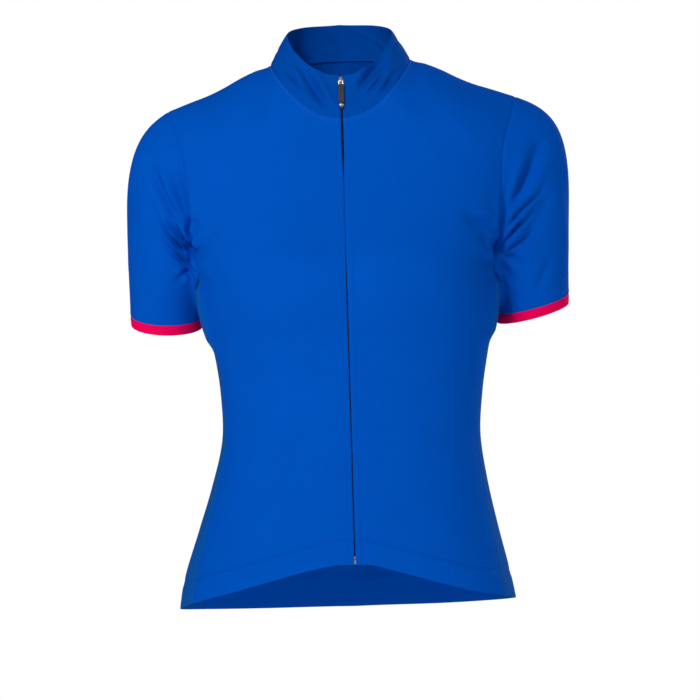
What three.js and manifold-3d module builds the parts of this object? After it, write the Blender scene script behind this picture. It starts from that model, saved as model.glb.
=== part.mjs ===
// A short-sleeved, close-fitting cycling jersey with a full-length zip, filled out as it is when worn.
// Millimetres. +Z is up and -Y is the front. The origin is the middle of the neck's base, level with
// the points where the collar meets the shoulder seams. +X is the wearer's left.
import * as THREE from "three";
import { mergeVertices } from "three/addons/utils/BufferGeometryUtils.js";
import Module from "manifold-3d";

const wasm = await Module();
wasm.setup();

// Cloth and seams
const CLOTH = 1.2; // thickness of every cloth wall
const SEAM_GAP = 0.3; // space between two pieces at a seam
const EDGE = SEAM_GAP / 2; // what each piece gives up at a shared seam

// Torso: how high its parts reach
const UNDERARM_Z = -226; // the level of the armhole's lowest point
const SHOULDER_TIP = { x: 191, z: -44 };
const SHOULDER_LEAN = 2.8; // the left shoulder tip is this much higher, and the right lower
const RIDGE_Y = 8; // the shoulder seams lie this far behind the origin
const RIDGE_ROUNDING = 74; // height over which the front and back bend over to the shoulder seam
const RIDGE_SHARE = 0.4; // share of the armhole's height that this bend takes up
const UNDERARM_DIP = 5; // how much lower the side panel's top is between its two seams

// Neck and collar
const NECK = { halfWidth: 77, frontDrop: 64.5, backRise: 10, curve: 1.7 };
const COLLAR_TOP = { halfWidth: 58, front: 62, back: 58 };
const COLLAR_BOW = 2.5; // at the nape the collar's middle stands out by this

// Sleeves
const CUFF_HEIGHT = 11;

// Zip. The slider and pull are placed from a point of the collar's front middle, its height as a share
// of the collar's, with up along the cloth and out away from it.
const ZIP = { halfGap: 1.3, tapeFrom: 0.15, tapeTo: 12, tapeThick: 0.8, behind: 0.45 };
const BOX = { halfWidth: 0.95, foot: 0.6, height: 8, proud: 0.5, behind: 1.35 };
const SLIDER = {
  share: 0.88,
  halfWidth: 3.4,
  bottom: -4.5,
  top: 4,
  frontPlate: [0.3, 1.5],
  backPlate: [-4.25, -3.25],
  post: { halfWidth: 0.8, bottom: 0.5, top: 3.2 },
  bridge: { halfWidth: 1.1, bottom: -3, top: 1.4, out: 4.4, bar: 0.9 },
};
const PULL = {
  pivot: { out: 2.6, up: -1.25 },
  pinRadius: 0.55,
  arm: { from: 1.5, to: 2.5 },
  bodyTop: 3.9,
  length: 31,
  halfWidth: 3,
  halfThick: 1,
  tip: 6.6,
  tipHalfThick: 0.75,
};

// How finely the pieces are divided
const LOWER_ROWS = 15; // hem to underarm
const UPPER_ROWS = 12; // underarm to shoulder seam
const HALF_COLUMNS = 12; // middle to side
const NECK_COLUMNS = 6; // how many of those end at the collar
const SIDE_COLUMNS = 5;
const SLEEVE_ROWS = 10;
const COLLAR_ROWS = 4;

const radians = THREE.MathUtils.degToRad;
const clamp = THREE.MathUtils.clamp;
const mix = THREE.MathUtils.lerp;

// Level sections of the torso. right and left are the half widths on the wearer's two sides, front
// and back the depths, and round the exponent of the oval: 2 is an ellipse, more is squarer.
// Above the underarm the widths are those of the shoulders with the arms' roots.
const torso = [
  { z: -640, right: 201, left: 183, front: 121, back: 127, round: 2.2 },
  { z: -600, right: 194.5, left: 177, front: 119, back: 125, round: 2.2 },
  { z: -560, right: 187.5, left: 169.5, front: 116, back: 121, round: 2.2 },
  { z: -510, right: 171, left: 158, front: 110, back: 111, round: 2.15 },
  { z: -460, right: 154.5, left: 148, front: 103, back: 99, round: 2.15 },
  { z: -410, right: 142, left: 142, front: 99, back: 90, round: 2.15 },
  { z: -360, right: 142, left: 146, front: 102, back: 91, round: 2.15 },
  { z: -310, right: 148.5, left: 154.5, front: 110, back: 96, round: 2.2 },
  { z: -270, right: 158, left: 161, front: 118, back: 102, round: 2.25 },
  { z: UNDERARM_Z, right: 163, left: 163, front: 121, back: 106, round: 2.3 },
  { z: -190, right: 174, left: 174, front: 112, back: 108, round: 2.35 },
  { z: -150, right: 184, left: 184, front: 99, back: 108, round: 2.4 },
  { z: -110, right: 192, left: 192, front: 86, back: 104, round: 2.4 },
  { z: -70, right: 199, left: 199, front: 74, back: 96, round: 2.4 },
  { z: -30, right: 204, left: 204, front: 62, back: 84, round: 2.4 },
  { z: 0, right: 207, left: 207, front: 54, back: 73, round: 2.4 },
  { z: 30, right: 210, left: 210, front: 48, back: 62, round: 2.4 },
];

// The shoulder seam's height at a distance from the middle. Inside the neck it runs on up the neck.
const shoulderLine = [
  { x: 0, z: 66 },
  { x: 45, z: 30 },
  { x: 77, z: 2 },
  { x: 94, z: -3.5 },
  { x: 112, z: -11.5 },
  { x: 128, z: -20 },
  { x: 146, z: -28 },
  { x: 165, z: -34.5 },
  { x: SHOULDER_TIP.x, z: SHOULDER_TIP.z },
  { x: 215, z: -54 },
];

// The armhole seam's distance from the middle at a height, on the front and the back.
const armhole = [
  { z: UNDERARM_Z, x: 158 },
  { z: -212, x: 164 },
  { z: -195, x: 168 },
  { z: -165, x: 170.5 },
  { z: -125, x: 171.5 },
  { z: -98, x: 174.5 },
  { z: -75, x: 181 },
  { z: SHOULDER_TIP.z, x: SHOULDER_TIP.x },
];

// The hem's height by angle round the body: 0 is the middle of the front, 180 of the back.
const hem = [
  { angle: 0, right: -542, left: -542 },
  { angle: 5, right: -542, left: -543 },
  { angle: 14, right: -547.5, left: -551 },
  { angle: 26, right: -557.5, left: -561.5 },
  { angle: 44, right: -571, left: -575 },
  { angle: 71, right: -586, left: -586 },
  { angle: 90, right: -594, left: -592 },
  { angle: 120, right: -601, left: -600 },
  { angle: 150, right: -606, left: -606 },
  { angle: 180, right: -608, left: -608 },
];

// Where the side panels' seams run, as angles round the body, by height.
const sideSeams = [
  { z: -640, front: 63, back: 121 },
  { z: -590, front: 65, back: 118 },
  { z: -500, front: 69.5, back: 112 },
  { z: -400, front: 73.5, back: 108 },
  { z: -300, front: 74.5, back: 107 },
  { z: UNDERARM_Z, front: 75, back: 106 },
];

// The collar's top edge by angle round the neck: height above the origin.
const collarTop = [
  { angle: 0, z: -19 },
  { angle: 13, z: -17 },
  { angle: 22, z: -13 },
  { angle: 32, z: -8 },
  { angle: 40, z: -2.5 },
  { angle: 49, z: 5 },
  { angle: 60, z: 13 },
  { angle: 72, z: 23 },
  { angle: 90, z: 34 },
  { angle: 135, z: 46 },
  { angle: 180, z: 50 },
];

// The two sleeve openings: middle, half width, half depth, how far the front dips, how far the outer
// end is lifted (degrees), the way the shoulder carries on into the sleeve, and how far each end of
// that line keeps to its direction.
const sleeves = {
  left: { x: 206, y: 38, z: -279, halfWidth: 41.5, halfDepth: 45, dip: 7, lift: 13.5 },
  right: { x: -201.2, y: 38, z: -281, halfWidth: 40.3, halfDepth: 45, dip: 12, lift: 3 },
};
const sleeveCaps = {
  left: { way: [0.95, 0, -0.3], leave: 230, arrive: 420 },
  right: { way: [0.88, 0, -0.47], leave: 190, arrive: 400 },
};
const ARM_UP = new THREE.Vector3(0, -0.18, 0.984).normalize();

// The same for the lines that leave the armhole at the front, underarm and back
const sleeveEase = {
  front: { way: [0.62, 0.1, -0.77], leave: 70, arrive: 110 },
  under: { way: [0.4, 0.2, -0.9], leave: 16, arrive: 14 },
  back: { way: [0.62, -0.05, -0.78], leave: 70, arrive: 110 },
};

// The fullness of the women's cut over the bust.
const fullness = { x: 76, z: -238, y: -95, radius: 58, height: 8 };

// The largest folds, each from one point in space to another. A minus height is a trough.
const folds = [
  { from: [-218, -28, -104], to: [-178, -48, -196], width: 9, height: -4 },
  { from: [-203, -44, -150], to: [-172, -46, -208], width: 6, height: 3.5 },
  { from: [-196, -40, -196], to: [-170, -40, -222], width: 6, height: 3 },
  { from: [216, -28, -100], to: [186, -50, -170], width: 9, height: -4.5 },
  { from: [206, -46, -150], to: [174, -50, -198], width: 6, height: 3.5 },
  { from: [222, -30, -134], to: [174, -44, -204], width: 7, height: -3.5 },
  { from: [204, -42, -182], to: [172, -42, -218], width: 7, height: 3.5 },
  { from: [222, -26, -158], to: [178, -36, -230], width: 8, height: -3 },
  { from: [138, -84, -176], to: [168, -52, -208], width: 9, height: -4.5 },
  { from: [-146, -76, -182], to: [-168, -52, -200], width: 9, height: -3 },
  { from: [-160, 50, -205], to: [-120, 92, -160], width: 12, height: -3 },
  { from: [160, 50, -205], to: [120, 92, -165], width: 12, height: -3 },
  { from: [-62, -52, 8], to: [-24, -74, -56], width: 7, height: -2.6 },
  { from: [58, -44, 8], to: [20, -72, -44], width: 7, height: -2.6 },
  { from: [66, -30, 2], to: [38, -66, -50], width: 6, height: -2 },
];

// A smooth curve through a table's rows, read by one of its columns.
function through(rows, key, column) {
  const slope = (i, j) => (rows[j][column] - rows[i][column]) / (rows[j][key] - rows[i][key]);
  const last = rows.length - 1;
  return (at) => {
    const forwards = rows[last][key] > rows[0][key];
    let i = 0;
    while (i < last - 1 && (forwards ? at > rows[i + 1][key] : at < rows[i + 1][key])) i++;
    const step = rows[i + 1][key] - rows[i][key];
    const t = clamp((at - rows[i][key]) / step, 0, 1);
    const start = i > 0 ? slope(i - 1, i + 1) : slope(i, i + 1);
    const end = i + 2 <= last ? slope(i, i + 2) : slope(i, i + 1);
    const [t2, t3] = [t * t, t * t * t];
    return (
      (2 * t3 - 3 * t2 + 1) * rows[i][column] +
      (t3 - 2 * t2 + t) * step * start +
      (3 * t2 - 2 * t3) * rows[i + 1][column] +
      (t3 - t2) * step * end
    );
  };
}

const halfWidth = { left: through(torso, "z", "left"), right: through(torso, "z", "right") };
const frontDepth = through(torso, "z", "front");
const backDepth = through(torso, "z", "back");
const roundness = through(torso, "z", "round");
const seamHeight = through(shoulderLine, "x", "z");
const armholeX = through(armhole, "z", "x");
const hemHeight = { left: through(hem, "angle", "left"), right: through(hem, "angle", "right") };
const frontSeam = through(sideSeams, "z", "front");
const backSeam = through(sideSeams, "z", "back");
const collarHeight = through(collarTop, "angle", "z");

const sideOf = (sign) => (sign < 0 ? "right" : "left");
const ridgeHeight = (sign, x) => seamHeight(x) + (sign * SHOULDER_LEAN * x) / SHOULDER_TIP.x;

// A point of the torso below the underarm, by angle round the body and height.
function ringPoint(sign, angle, z) {
  const power = 2 / roundness(z);
  const [s, c] = [Math.sin(radians(angle)), Math.cos(radians(angle))];
  const depth = c > 0 ? -frontDepth(z) : backDepth(z);
  return new THREE.Vector3(
    sign * Math.sign(s) * halfWidth[sideOf(sign)](z) * Math.abs(s) ** power,
    depth * Math.abs(c) ** power,
    z,
  );
}

// A point of the torso above the underarm, on the front (face -1) or the back (face 1). The cloth
// bends over to the shoulder seam as a quarter of an ellipse.
function yokePoint(sign, face, x, z) {
  const n = roundness(z);
  const share = clamp(x / halfWidth[sideOf(sign)](z), 0, 1);
  const depth = (face < 0 ? -frontDepth(z) : backDepth(z)) * (1 - share ** n) ** (1 / n);
  const risen = clamp(1 + (z - ridgeHeight(sign, x)) / RIDGE_ROUNDING, 0, 1);
  const bend = Math.sqrt(1 - risen * risen);
  return new THREE.Vector3(sign * x, mix(RIDGE_Y, depth, bend), z);
}

const neckAngleShare = NECK_COLUMNS / HALF_COLUMNS;

// The height reached, as a share of the way from the underarm to the top edge, at a share of the rows.
function climb(v) {
  const straight = 1 - RIDGE_SHARE;
  const turn = straight / (straight + (RIDGE_SHARE * Math.PI) / 2);
  if (v < turn) return (straight * v) / turn;
  return straight + RIDGE_SHARE * Math.sin(((v - turn) / (1 - turn)) * (Math.PI / 2));
}

// A point of a front or back half: across 0 to 1 from the middle to the side seam or armhole, and up
// -1 to 0 from hem to underarm, then 0 to 1 to the neck and shoulder seam.
function halfPoint(sign, face, across, up) {
  const middle = face < 0 ? 0 : 180;
  const seam = face < 0 ? frontSeam : backSeam;
  if (up <= 0) {
    // The seam's angle depends on the height, and the hem's height on the angle, so it is found twice.
    let angle = mix(middle, seam(UNDERARM_Z), across);
    let z = UNDERARM_Z;
    for (let pass = 0; pass < 3; pass++) {
      z = mix(UNDERARM_Z, hemHeight[sideOf(sign)](angle), -up);
      angle = mix(middle, seam(z), across);
    }
    return ringPoint(sign, angle, z);
  }
  const edgeAngle = radians(Math.abs(middle - seam(UNDERARM_Z)));
  const low = (Math.sin(edgeAngle * across) / Math.sin(edgeAngle)) ** (2 / roundness(UNDERARM_Z));
  const neckX = NECK.halfWidth / SHOULDER_TIP.x;
  const onNeck = across < neckAngleShare;
  const neckTurn = (across / neckAngleShare) * (Math.PI / 2);
  const high = onNeck
    ? neckX * Math.sin(neckTurn)
    : mix(neckX, 1, (across - neckAngleShare) / (1 - neckAngleShare));
  const neckZ = face < 0 ? -NECK.frontDrop : NECK.backRise;
  const neckShare = Math.max(Math.cos(neckTurn), 0) ** NECK.curve;
  const top = onNeck
    ? mix(ridgeHeight(sign, NECK.halfWidth), neckZ, neckShare)
    : ridgeHeight(sign, high * SHOULDER_TIP.x);
  const v = Math.min(up, 1);
  const z = mix(UNDERARM_Z, top, climb(v));
  const edgeX = armholeX(mix(UNDERARM_Z, SHOULDER_TIP.z, climb(v)));
  const spread = v * v * (3 - 2 * v);
  return yokePoint(sign, face, edgeX * mix(low, high, spread), z);
}

// A point of a side panel: across 0 to 1 from the front seam to the back seam, up -1 to 0 from the hem.
function sidePoint(sign, across, up) {
  let angle = mix(frontSeam(UNDERARM_Z), backSeam(UNDERARM_Z), across);
  let z = UNDERARM_Z;
  for (let pass = 0; pass < 3; pass++) {
    const top = UNDERARM_Z - UNDERARM_DIP * Math.sin(Math.PI * clamp(across, 0, 1));
    z = mix(top, hemHeight[sideOf(sign)](angle), -up);
    angle = mix(frontSeam(z), backSeam(z), across);
  }
  return ringPoint(sign, angle, z);
}

const nearest = new THREE.Vector3();
const foldLines = folds.map((f) => ({
  line: new THREE.Line3(new THREE.Vector3(...f.from), new THREE.Vector3(...f.to)),
  width: f.width,
  height: f.height,
}));

// How far the cloth stands out from its smooth form at a point: the cut's fullness and the folds.
function standOut(p) {
  const x = Math.abs(p.x) - fullness.x;
  const bust = p.y < 0 && p.z < -100 ? Math.hypot(x, p.z - fullness.z) / fullness.radius : 9;
  let out = fullness.height * Math.exp(-bust * bust) * clamp(-p.y / -fullness.y, 0, 1);
  for (const fold of foldLines) {
    const along = fold.line.closestPointToPointParameter(p, true);
    const away = p.distanceTo(fold.line.at(along, nearest)) / fold.width;
    out += fold.height * Math.exp(-away * away);
  }
  return out;
}

// A grid of points and outward normals over a surface, which is a function of two shares.
const STEP = 1e-3;
function sample(surface, columns, rows, { turned = false, top = 9 } = {}) {
  return rows.map((v) => {
    const row = columns.map((u) => {
      const across = surface(u + STEP, v).sub(surface(u - STEP, v));
      const along = surface(u, Math.min(v + STEP, top)).sub(surface(u, v - STEP));
      const normal = across.cross(along).normalize();
      return { point: surface(u, v), normal: turned ? normal.negate() : normal };
    });
    return turned ? row.reverse() : row;
  });
}

const steps = (count, from = 0, to = 1) => Array.from({ length: count + 1 }, (_, i) => mix(from, to, i / count));

const edgeCells = (grid) =>
  grid.flatMap((row, i) => (i === 0 || i === grid.length - 1 ? row : [row[0], row[row.length - 1]]));

// Where pieces meet, their points are given one shared normal, so that their edges face each other.
function shareNormals(grids) {
  const cells = grids.flatMap(edgeCells);
  const shared = cells.map((cell) => {
    const sum = new THREE.Vector3();
    for (const other of cells) if (other.point.distanceTo(cell.point) < 0.02) sum.add(other.normal);
    return sum.normalize();
  });
  cells.forEach((cell, i) => cell.normal.copy(shared[i]));
}

function shape(grid) {
  for (const cell of grid.flat()) cell.point.addScaledVector(cell.normal, standOut(cell.point.clone()));
}

// A grid with its edges moved in by the seam's share.
function trim(grid, sides) {
  const last = grid.length - 1;
  const end = grid[0].length - 1;
  const shift = (cell, next) => {
    const way = next.point.clone().sub(cell.point).normalize();
    return { point: cell.point.clone().addScaledVector(way, EDGE), normal: cell.normal };
  };
  const cut = grid.map((row) => row.slice());
  for (let i = 0; i <= last; i++) {
    if (sides.includes("start")) cut[i][0] = shift(cut[i][0], grid[i][1]);
    if (sides.includes("end")) cut[i][end] = shift(cut[i][end], grid[i][end - 1]);
  }
  for (let j = 0; j <= end; j++) {
    if (sides.includes("first")) cut[0][j] = shift(cut[0][j], cut[1][j]);
    if (sides.includes("last")) cut[last][j] = shift(cut[last][j], cut[last - 1][j]);
  }
  return cut;
}

// A closed wall over a grid. Its outer face stands out from the grid by lift. A round grid joins its
// last column to its first.
function wall(grid, { thick = CLOTH, lift = 0, round = false } = {}) {
  const rows = grid.length;
  const columns = grid[0].length;
  const positions = [];
  for (const offset of [lift, lift - thick])
    for (const cell of grid.flat()) positions.push(...cell.point.clone().addScaledVector(cell.normal, offset));
  const at = (i, j, layer) => layer * rows * columns + i * columns + (j % columns);
  const triangles = [];
  const quad = (a, b, c, d) => triangles.push(a, b, c, a, c, d);
  const spans = round ? columns : columns - 1;
  for (let i = 0; i < rows - 1; i++)
    for (let j = 0; j < spans; j++) {
      quad(at(i, j, 0), at(i, j + 1, 0), at(i + 1, j + 1, 0), at(i + 1, j, 0));
      quad(at(i, j, 1), at(i + 1, j, 1), at(i + 1, j + 1, 1), at(i, j + 1, 1));
    }
  for (let j = 0; j < spans; j++) {
    quad(at(0, j, 0), at(0, j, 1), at(0, j + 1, 1), at(0, j + 1, 0));
    quad(at(rows - 1, j, 0), at(rows - 1, j + 1, 0), at(rows - 1, j + 1, 1), at(rows - 1, j, 1));
  }
  for (let i = 0; !round && i < rows - 1; i++) {
    quad(at(i, 0, 0), at(i + 1, 0, 0), at(i + 1, 0, 1), at(i, 0, 1));
    quad(at(i, spans, 0), at(i, spans, 1), at(i + 1, spans, 1), at(i + 1, spans, 0));
  }
  const geometry = new THREE.BufferGeometry();
  geometry.setAttribute("position", new THREE.Float32BufferAttribute(positions, 3));
  geometry.setIndex(triangles);
  return geometry;
}

// Materials, by what each piece is made of
const colours = {
  jersey: { color: 0x0650b8, roughness: 0.75, metalness: 0 },
  mesh: { color: 0x0a52ae, roughness: 0.8, metalness: 0 },
  band: { color: 0xe8084e, roughness: 0.7, metalness: 0 },
  tape: { color: 0x0b1230, roughness: 0.6, metalness: 0 },
  metal: { color: 0xb9b4b4, roughness: 0.3, metalness: 1 },
  rubber: { color: 0x3b4148, roughness: 0.65, metalness: 0 },
};

const jersey = new THREE.Group();
function addPiece(name, finish, geometry, place) {
  const mesh = new THREE.Mesh(geometry, new THREE.MeshStandardMaterial(colours[finish]));
  mesh.name = name;
  if (place) mesh.applyMatrix4(place);
  jersey.add(mesh);
}

// The torso's panels. The fronts and the back share one numbering across: minus on the left of the view
// from outside, 0 in the middle.
const SIGNS = { left: 1, right: -1 };
const upRows = [...steps(LOWER_ROWS, -1, 0).slice(0, -1), ...steps(UPPER_ROWS)];
const frontSurface = (u, v) => halfPoint(u < 0 ? -1 : 1, -1, Math.abs(u), v);
const backSurface = (u, v) => halfPoint(u < 0 ? 1 : -1, 1, Math.abs(u), v);
const grids = {
  front_left: sample(frontSurface, steps(HALF_COLUMNS, 0, 1), upRows, { top: 1 }),
  front_right: sample(frontSurface, steps(HALF_COLUMNS, -1, 0), upRows, { top: 1 }),
  back: sample(backSurface, steps(2 * HALF_COLUMNS, -1, 1), upRows, { top: 1 }),
};
for (const [side, sign] of Object.entries(SIGNS)) {
  const surface = (u, v) => sidePoint(sign, u, v);
  const options = { turned: sign < 0, top: 0 };
  grids["side_" + side] = sample(surface, steps(SIDE_COLUMNS), steps(LOWER_ROWS, -1, 0), options);
}

// A point of the armhole: 0 at the shoulder tip, down the front to 1, under the arm to 2, up the back to 3.
function armholePoint(sign, at) {
  const q = (at + 3) % 3;
  if (q <= 1) return halfPoint(sign, -1, 1, 1 - q);
  if (q <= 2) return sidePoint(sign, q - 1, 0);
  return halfPoint(sign, 1, 1, q - 2);
}

const armholeStops = [
  ...steps(UPPER_ROWS, 0, 1).slice(0, -1),
  ...steps(SIDE_COLUMNS, 1, 2).slice(0, -1),
  ...steps(UPPER_ROWS, 2, 3),
];

// The sleeve of one side: each line of it leaves the armhole away from the body and arrives at the cuff
// along the arm. Shares past 1 go on along the arm into the cuff, in cuff heights.
function sleeveSurface(sign) {
  const s = sleeves[sideOf(sign)];
  const reached = [0];
  for (let i = 1; i < armholeStops.length; i++) {
    const step = armholePoint(sign, armholeStops[i]).distanceTo(armholePoint(sign, armholeStops[i - 1]));
    reached.push(reached[i - 1] + step);
  }
  const whole = reached[reached.length - 1];
  const turnAt = armholeStops.map((stop, i) => ({ stop, turn: (2 * Math.PI * reached[i]) / whole }));
  const turnOf = (q) => {
    const i = clamp(turnAt.findIndex((row) => row.stop > q) - 1, 0, turnAt.length - 2);
    const span = turnAt[i + 1].stop - turnAt[i].stop;
    return mix(turnAt[i].turn, turnAt[i + 1].turn, (q - turnAt[i].stop) / span);
  };
  const out = new THREE.Vector3(sign * Math.cos(radians(s.lift)), 0, Math.sin(radians(s.lift)));
  const dip = s.dip / s.halfDepth;
  const front = new THREE.Vector3(0, -Math.sqrt(1 - dip * dip), -dip);
  const middle = new THREE.Vector3(s.x, s.y, s.z).addScaledVector(ARM_UP, CUFF_HEIGHT);
  const eases = [sleeveCaps[sideOf(sign)], sleeveEase.front, sleeveEase.under, sleeveEase.back];
  return (at, v) => {
    const q = (at + 3) % 3;
    const turn = q === 0 ? 0 : turnOf(q);
    const [c, d] = [Math.cos(turn), Math.sin(turn)];
    const shares = [Math.max(c, 0) ** 2, Math.max(d, 0) ** 2, Math.max(-c, 0) ** 2, Math.max(-d, 0) ** 2];
    const start = armholePoint(sign, q);
    const end = middle.clone().addScaledVector(out, s.halfWidth * c).addScaledVector(front, s.halfDepth * d);
    if (v > 1) return end.addScaledVector(ARM_UP, -CUFF_HEIGHT * (v - 1));
    const leaving = new THREE.Vector3();
    let arriving = 0;
    shares.forEach((share, i) => {
      const [x, y, z] = eases[i].way;
      leaving.addScaledVector(new THREE.Vector3(sign * x, y, z).normalize(), share * eases[i].leave);
      arriving += share * eases[i].arrive;
    });
    const [v2, v3] = [v * v, v * v * v];
    return start
      .multiplyScalar(2 * v3 - 3 * v2 + 1)
      .addScaledVector(leaving, v3 - 2 * v2 + v)
      .addScaledVector(end, 3 * v2 - 2 * v3)
      .addScaledVector(ARM_UP, -arriving * (v3 - v2));
  };
}

for (const [side, sign] of Object.entries(SIGNS)) {
  const surface = sleeveSurface(sign);
  const around = armholeStops.slice(0, -1);
  grids["sleeve_" + side] = sample(surface, around, steps(SLEEVE_ROWS), { turned: sign < 0 });
  grids["cuff_" + side] = sample(surface, around, [1, 2], { turned: sign < 0 });
}

// The collar, by angle round the neck from the middle of the front towards the wearer's left.
function collarPoint(degrees, v) {
  const turn = (degrees + 360) % 360;
  const sign = turn <= 180 ? 1 : -1;
  const angle = turn <= 180 ? turn : 360 - turn;
  const onFront = angle <= 90;
  const across = ((onFront ? angle : 180 - angle) / 90) * neckAngleShare;
  const [s, c] = [Math.sin(radians(angle)), Math.cos(radians(angle))];
  const top = new THREE.Vector3(
    sign * COLLAR_TOP.halfWidth * s,
    -c * (onFront ? COLLAR_TOP.front : COLLAR_TOP.back),
    collarHeight(angle),
  );
  const bow = COLLAR_BOW * Math.sin(Math.PI * clamp(v, 0, 1)) * ((1 - c) / 2);
  const point = halfPoint(sign, onFront ? -1 : 1, across, 1).lerp(top, v);
  return point.add(new THREE.Vector3(sign * s * bow, -c * bow, 0));
}
const collarSurface = (u, v) => collarPoint(360 * u, v);
grids.collar = sample(collarSurface, steps(4 * NECK_COLUMNS), steps(COLLAR_ROWS));

shareNormals(Object.values(grids));
for (const grid of Object.values(grids)) shape(grid);

// The zip's edges: the fronts and the collar's ends stop short of the middle.
function openForZip(grid, column, sign) {
  return grid.map((row) => {
    const copy = row.slice();
    const cell = copy.at(column);
    const point = new THREE.Vector3(sign * ZIP.halfGap, cell.point.y, cell.point.z);
    copy[copy.indexOf(cell)] = { point, normal: new THREE.Vector3(0, cell.normal.y, cell.normal.z).normalize() };
    return copy;
  });
}

// A tape's strip along the first span beside the middle, from one distance from the middle to another.
function tapeGrid(sign) {
  const side = sideOf(sign);
  const collarRows = grids.collar.slice(1);
  const end = collarRows.length - 1;
  const topShare = (SLIDER.share - end / COLLAR_ROWS) * COLLAR_ROWS;
  const between = (a, b, t) => ({
    point: a.point.clone().lerp(b.point, t),
    normal: a.normal.clone().lerp(b.normal, t).normalize(),
  });
  const spans = [...grids["front_" + side], ...collarRows].map((row) => {
    const near = row.at(sign > 0 ? 0 : -1);
    const next = row.at(sign > 0 ? 1 : -2);
    return { near, next };
  });
  const last = spans.length - 1;
  spans[last] = {
    near: between(spans[last - 1].near, spans[last].near, topShare),
    next: between(spans[last - 1].next, spans[last].next, topShare),
  };
  return spans.map(({ near, next }) => {
    const width = Math.abs(next.point.x);
    const strip = [ZIP.tapeFrom, ZIP.tapeTo].map((x) => between(near, next, x / width));
    return sign > 0 ? strip : strip.reverse();
  });
}

// The panels, with what each gives up at its seams
const front = (side) => openForZip(grids["front_" + side], side === "left" ? 0 : -1, SIGNS[side]);
addPiece("front_left", "jersey", wall(trim(front("left"), ["end", "last"])));
addPiece("front_right", "jersey", wall(trim(front("right"), ["start", "last"])));
addPiece("back", "jersey", wall(trim(grids.back, ["start", "end", "last"])));
for (const side of Object.keys(SIGNS)) {
  addPiece("side_" + side, "mesh", wall(trim(grids["side_" + side], ["start", "end", "last"])));
  addPiece("sleeve_" + side, "jersey", wall(trim(grids["sleeve_" + side], ["first", "last"]), { round: true }));
  addPiece("cuff_" + side, "band", wall(trim(grids["cuff_" + side], ["first"]), { round: true }));
}
const collar = openForZip(openForZip(grids.collar, 0, 1), -1, -1);
addPiece("collar", "jersey", wall(trim(collar, ["first"])));
for (const [side, sign] of Object.entries(SIGNS)) {
  const tape = { thick: ZIP.tapeThick, lift: -CLOTH - ZIP.behind };
  addPiece("zip_tape_" + side, "tape", wall(tapeGrid(sign), tape));
}

// A closed mesh as a solid that can be joined and cut, and back.
function toSolid(geometry) {
  const bare = geometry.clone();
  bare.deleteAttribute("normal");
  bare.deleteAttribute("uv");
  const merged = mergeVertices(bare, 1e-4);
  const vertProperties = new Float32Array(merged.attributes.position.array);
  const triVerts = new Uint32Array(merged.index.array);
  return new wasm.Manifold(new wasm.Mesh({ numProp: 3, vertProperties, triVerts }));
}
function toGeometry(solid) {
  const { vertProperties, triVerts } = solid.getMesh();
  const geometry = new THREE.BufferGeometry();
  geometry.setAttribute("position", new THREE.BufferAttribute(vertProperties, 3));
  geometry.setIndex(new THREE.BufferAttribute(triVerts, 1));
  return geometry;
}
const join = (parts) => toGeometry(parts.map(toSolid).reduce((whole, part) => whole.add(part)));

// A block in the slider's own frame: x across, out away from the cloth, up along the zip.
function block(halfWidth, [inner, outer], [bottom, top], middle = 0) {
  const box = new THREE.BoxGeometry(2 * halfWidth, outer - inner, top - bottom);
  return box.translate(middle, -(inner + outer) / 2, (bottom + top) / 2);
}

// The slider's frame on the collar's front middle
const seat = collarPoint(0, SLIDER.share);
const up = collarPoint(0, 1).sub(collarPoint(0, 0)).normalize();
const across = new THREE.Vector3(1, 0, 0);
const inwards = up.clone().cross(across).normalize();
const slide = new THREE.Matrix4().makeBasis(across, inwards, up).setPosition(seat);

const { bridge, post, frontPlate, backPlate } = SLIDER;
const OVERLAP = 0.1; // how far joined blocks run into each other
const slider = join([
  block(SLIDER.halfWidth, frontPlate, [SLIDER.bottom, SLIDER.top]),
  block(SLIDER.halfWidth, backPlate, [SLIDER.bottom, SLIDER.top]),
  block(post.halfWidth, [backPlate[1] - OVERLAP, frontPlate[0] + OVERLAP], [post.bottom, post.top]),
  block(bridge.halfWidth, [frontPlate[1] - OVERLAP, bridge.out], [bridge.bottom, bridge.bottom + bridge.bar]),
  block(bridge.halfWidth, [frontPlate[1] - OVERLAP, bridge.out], [bridge.top - bridge.bar, bridge.top]),
  block(bridge.halfWidth, [bridge.out - bridge.bar, bridge.out], [bridge.bottom, bridge.top]),
]);
addPiece("zip_slider", "metal", slider, slide);

// The pull hangs from a pin through the bridge.
const { pivot, arm } = PULL;
const armMiddle = (arm.from + arm.to) / 2;
const armHalf = (arm.to - arm.from) / 2;
const pinRound = [-PULL.pinRadius, PULL.pinRadius];
const tipTop = -PULL.length + PULL.tip;
const pull = join([
  new THREE.CylinderGeometry(PULL.pinRadius, PULL.pinRadius, 2 * arm.to - OVERLAP, 16).rotateZ(Math.PI / 2),
  block(armHalf, pinRound, [-PULL.bodyTop - OVERLAP, PULL.pinRadius], armMiddle),
  block(armHalf, pinRound, [-PULL.bodyTop - OVERLAP, PULL.pinRadius], -armMiddle),
  block(PULL.halfWidth, [-PULL.halfThick, PULL.halfThick], [tipTop, -PULL.bodyTop]),
  block(PULL.halfWidth - 0.3, [-PULL.tipHalfThick, PULL.tipHalfThick], [-PULL.length, tipTop + OVERLAP]),
]);
const pullPlace = slide.clone().multiply(new THREE.Matrix4().makeTranslation(0, -pivot.out, pivot.up));
addPiece("pull_tab", "rubber", pull, pullPlace);

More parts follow.
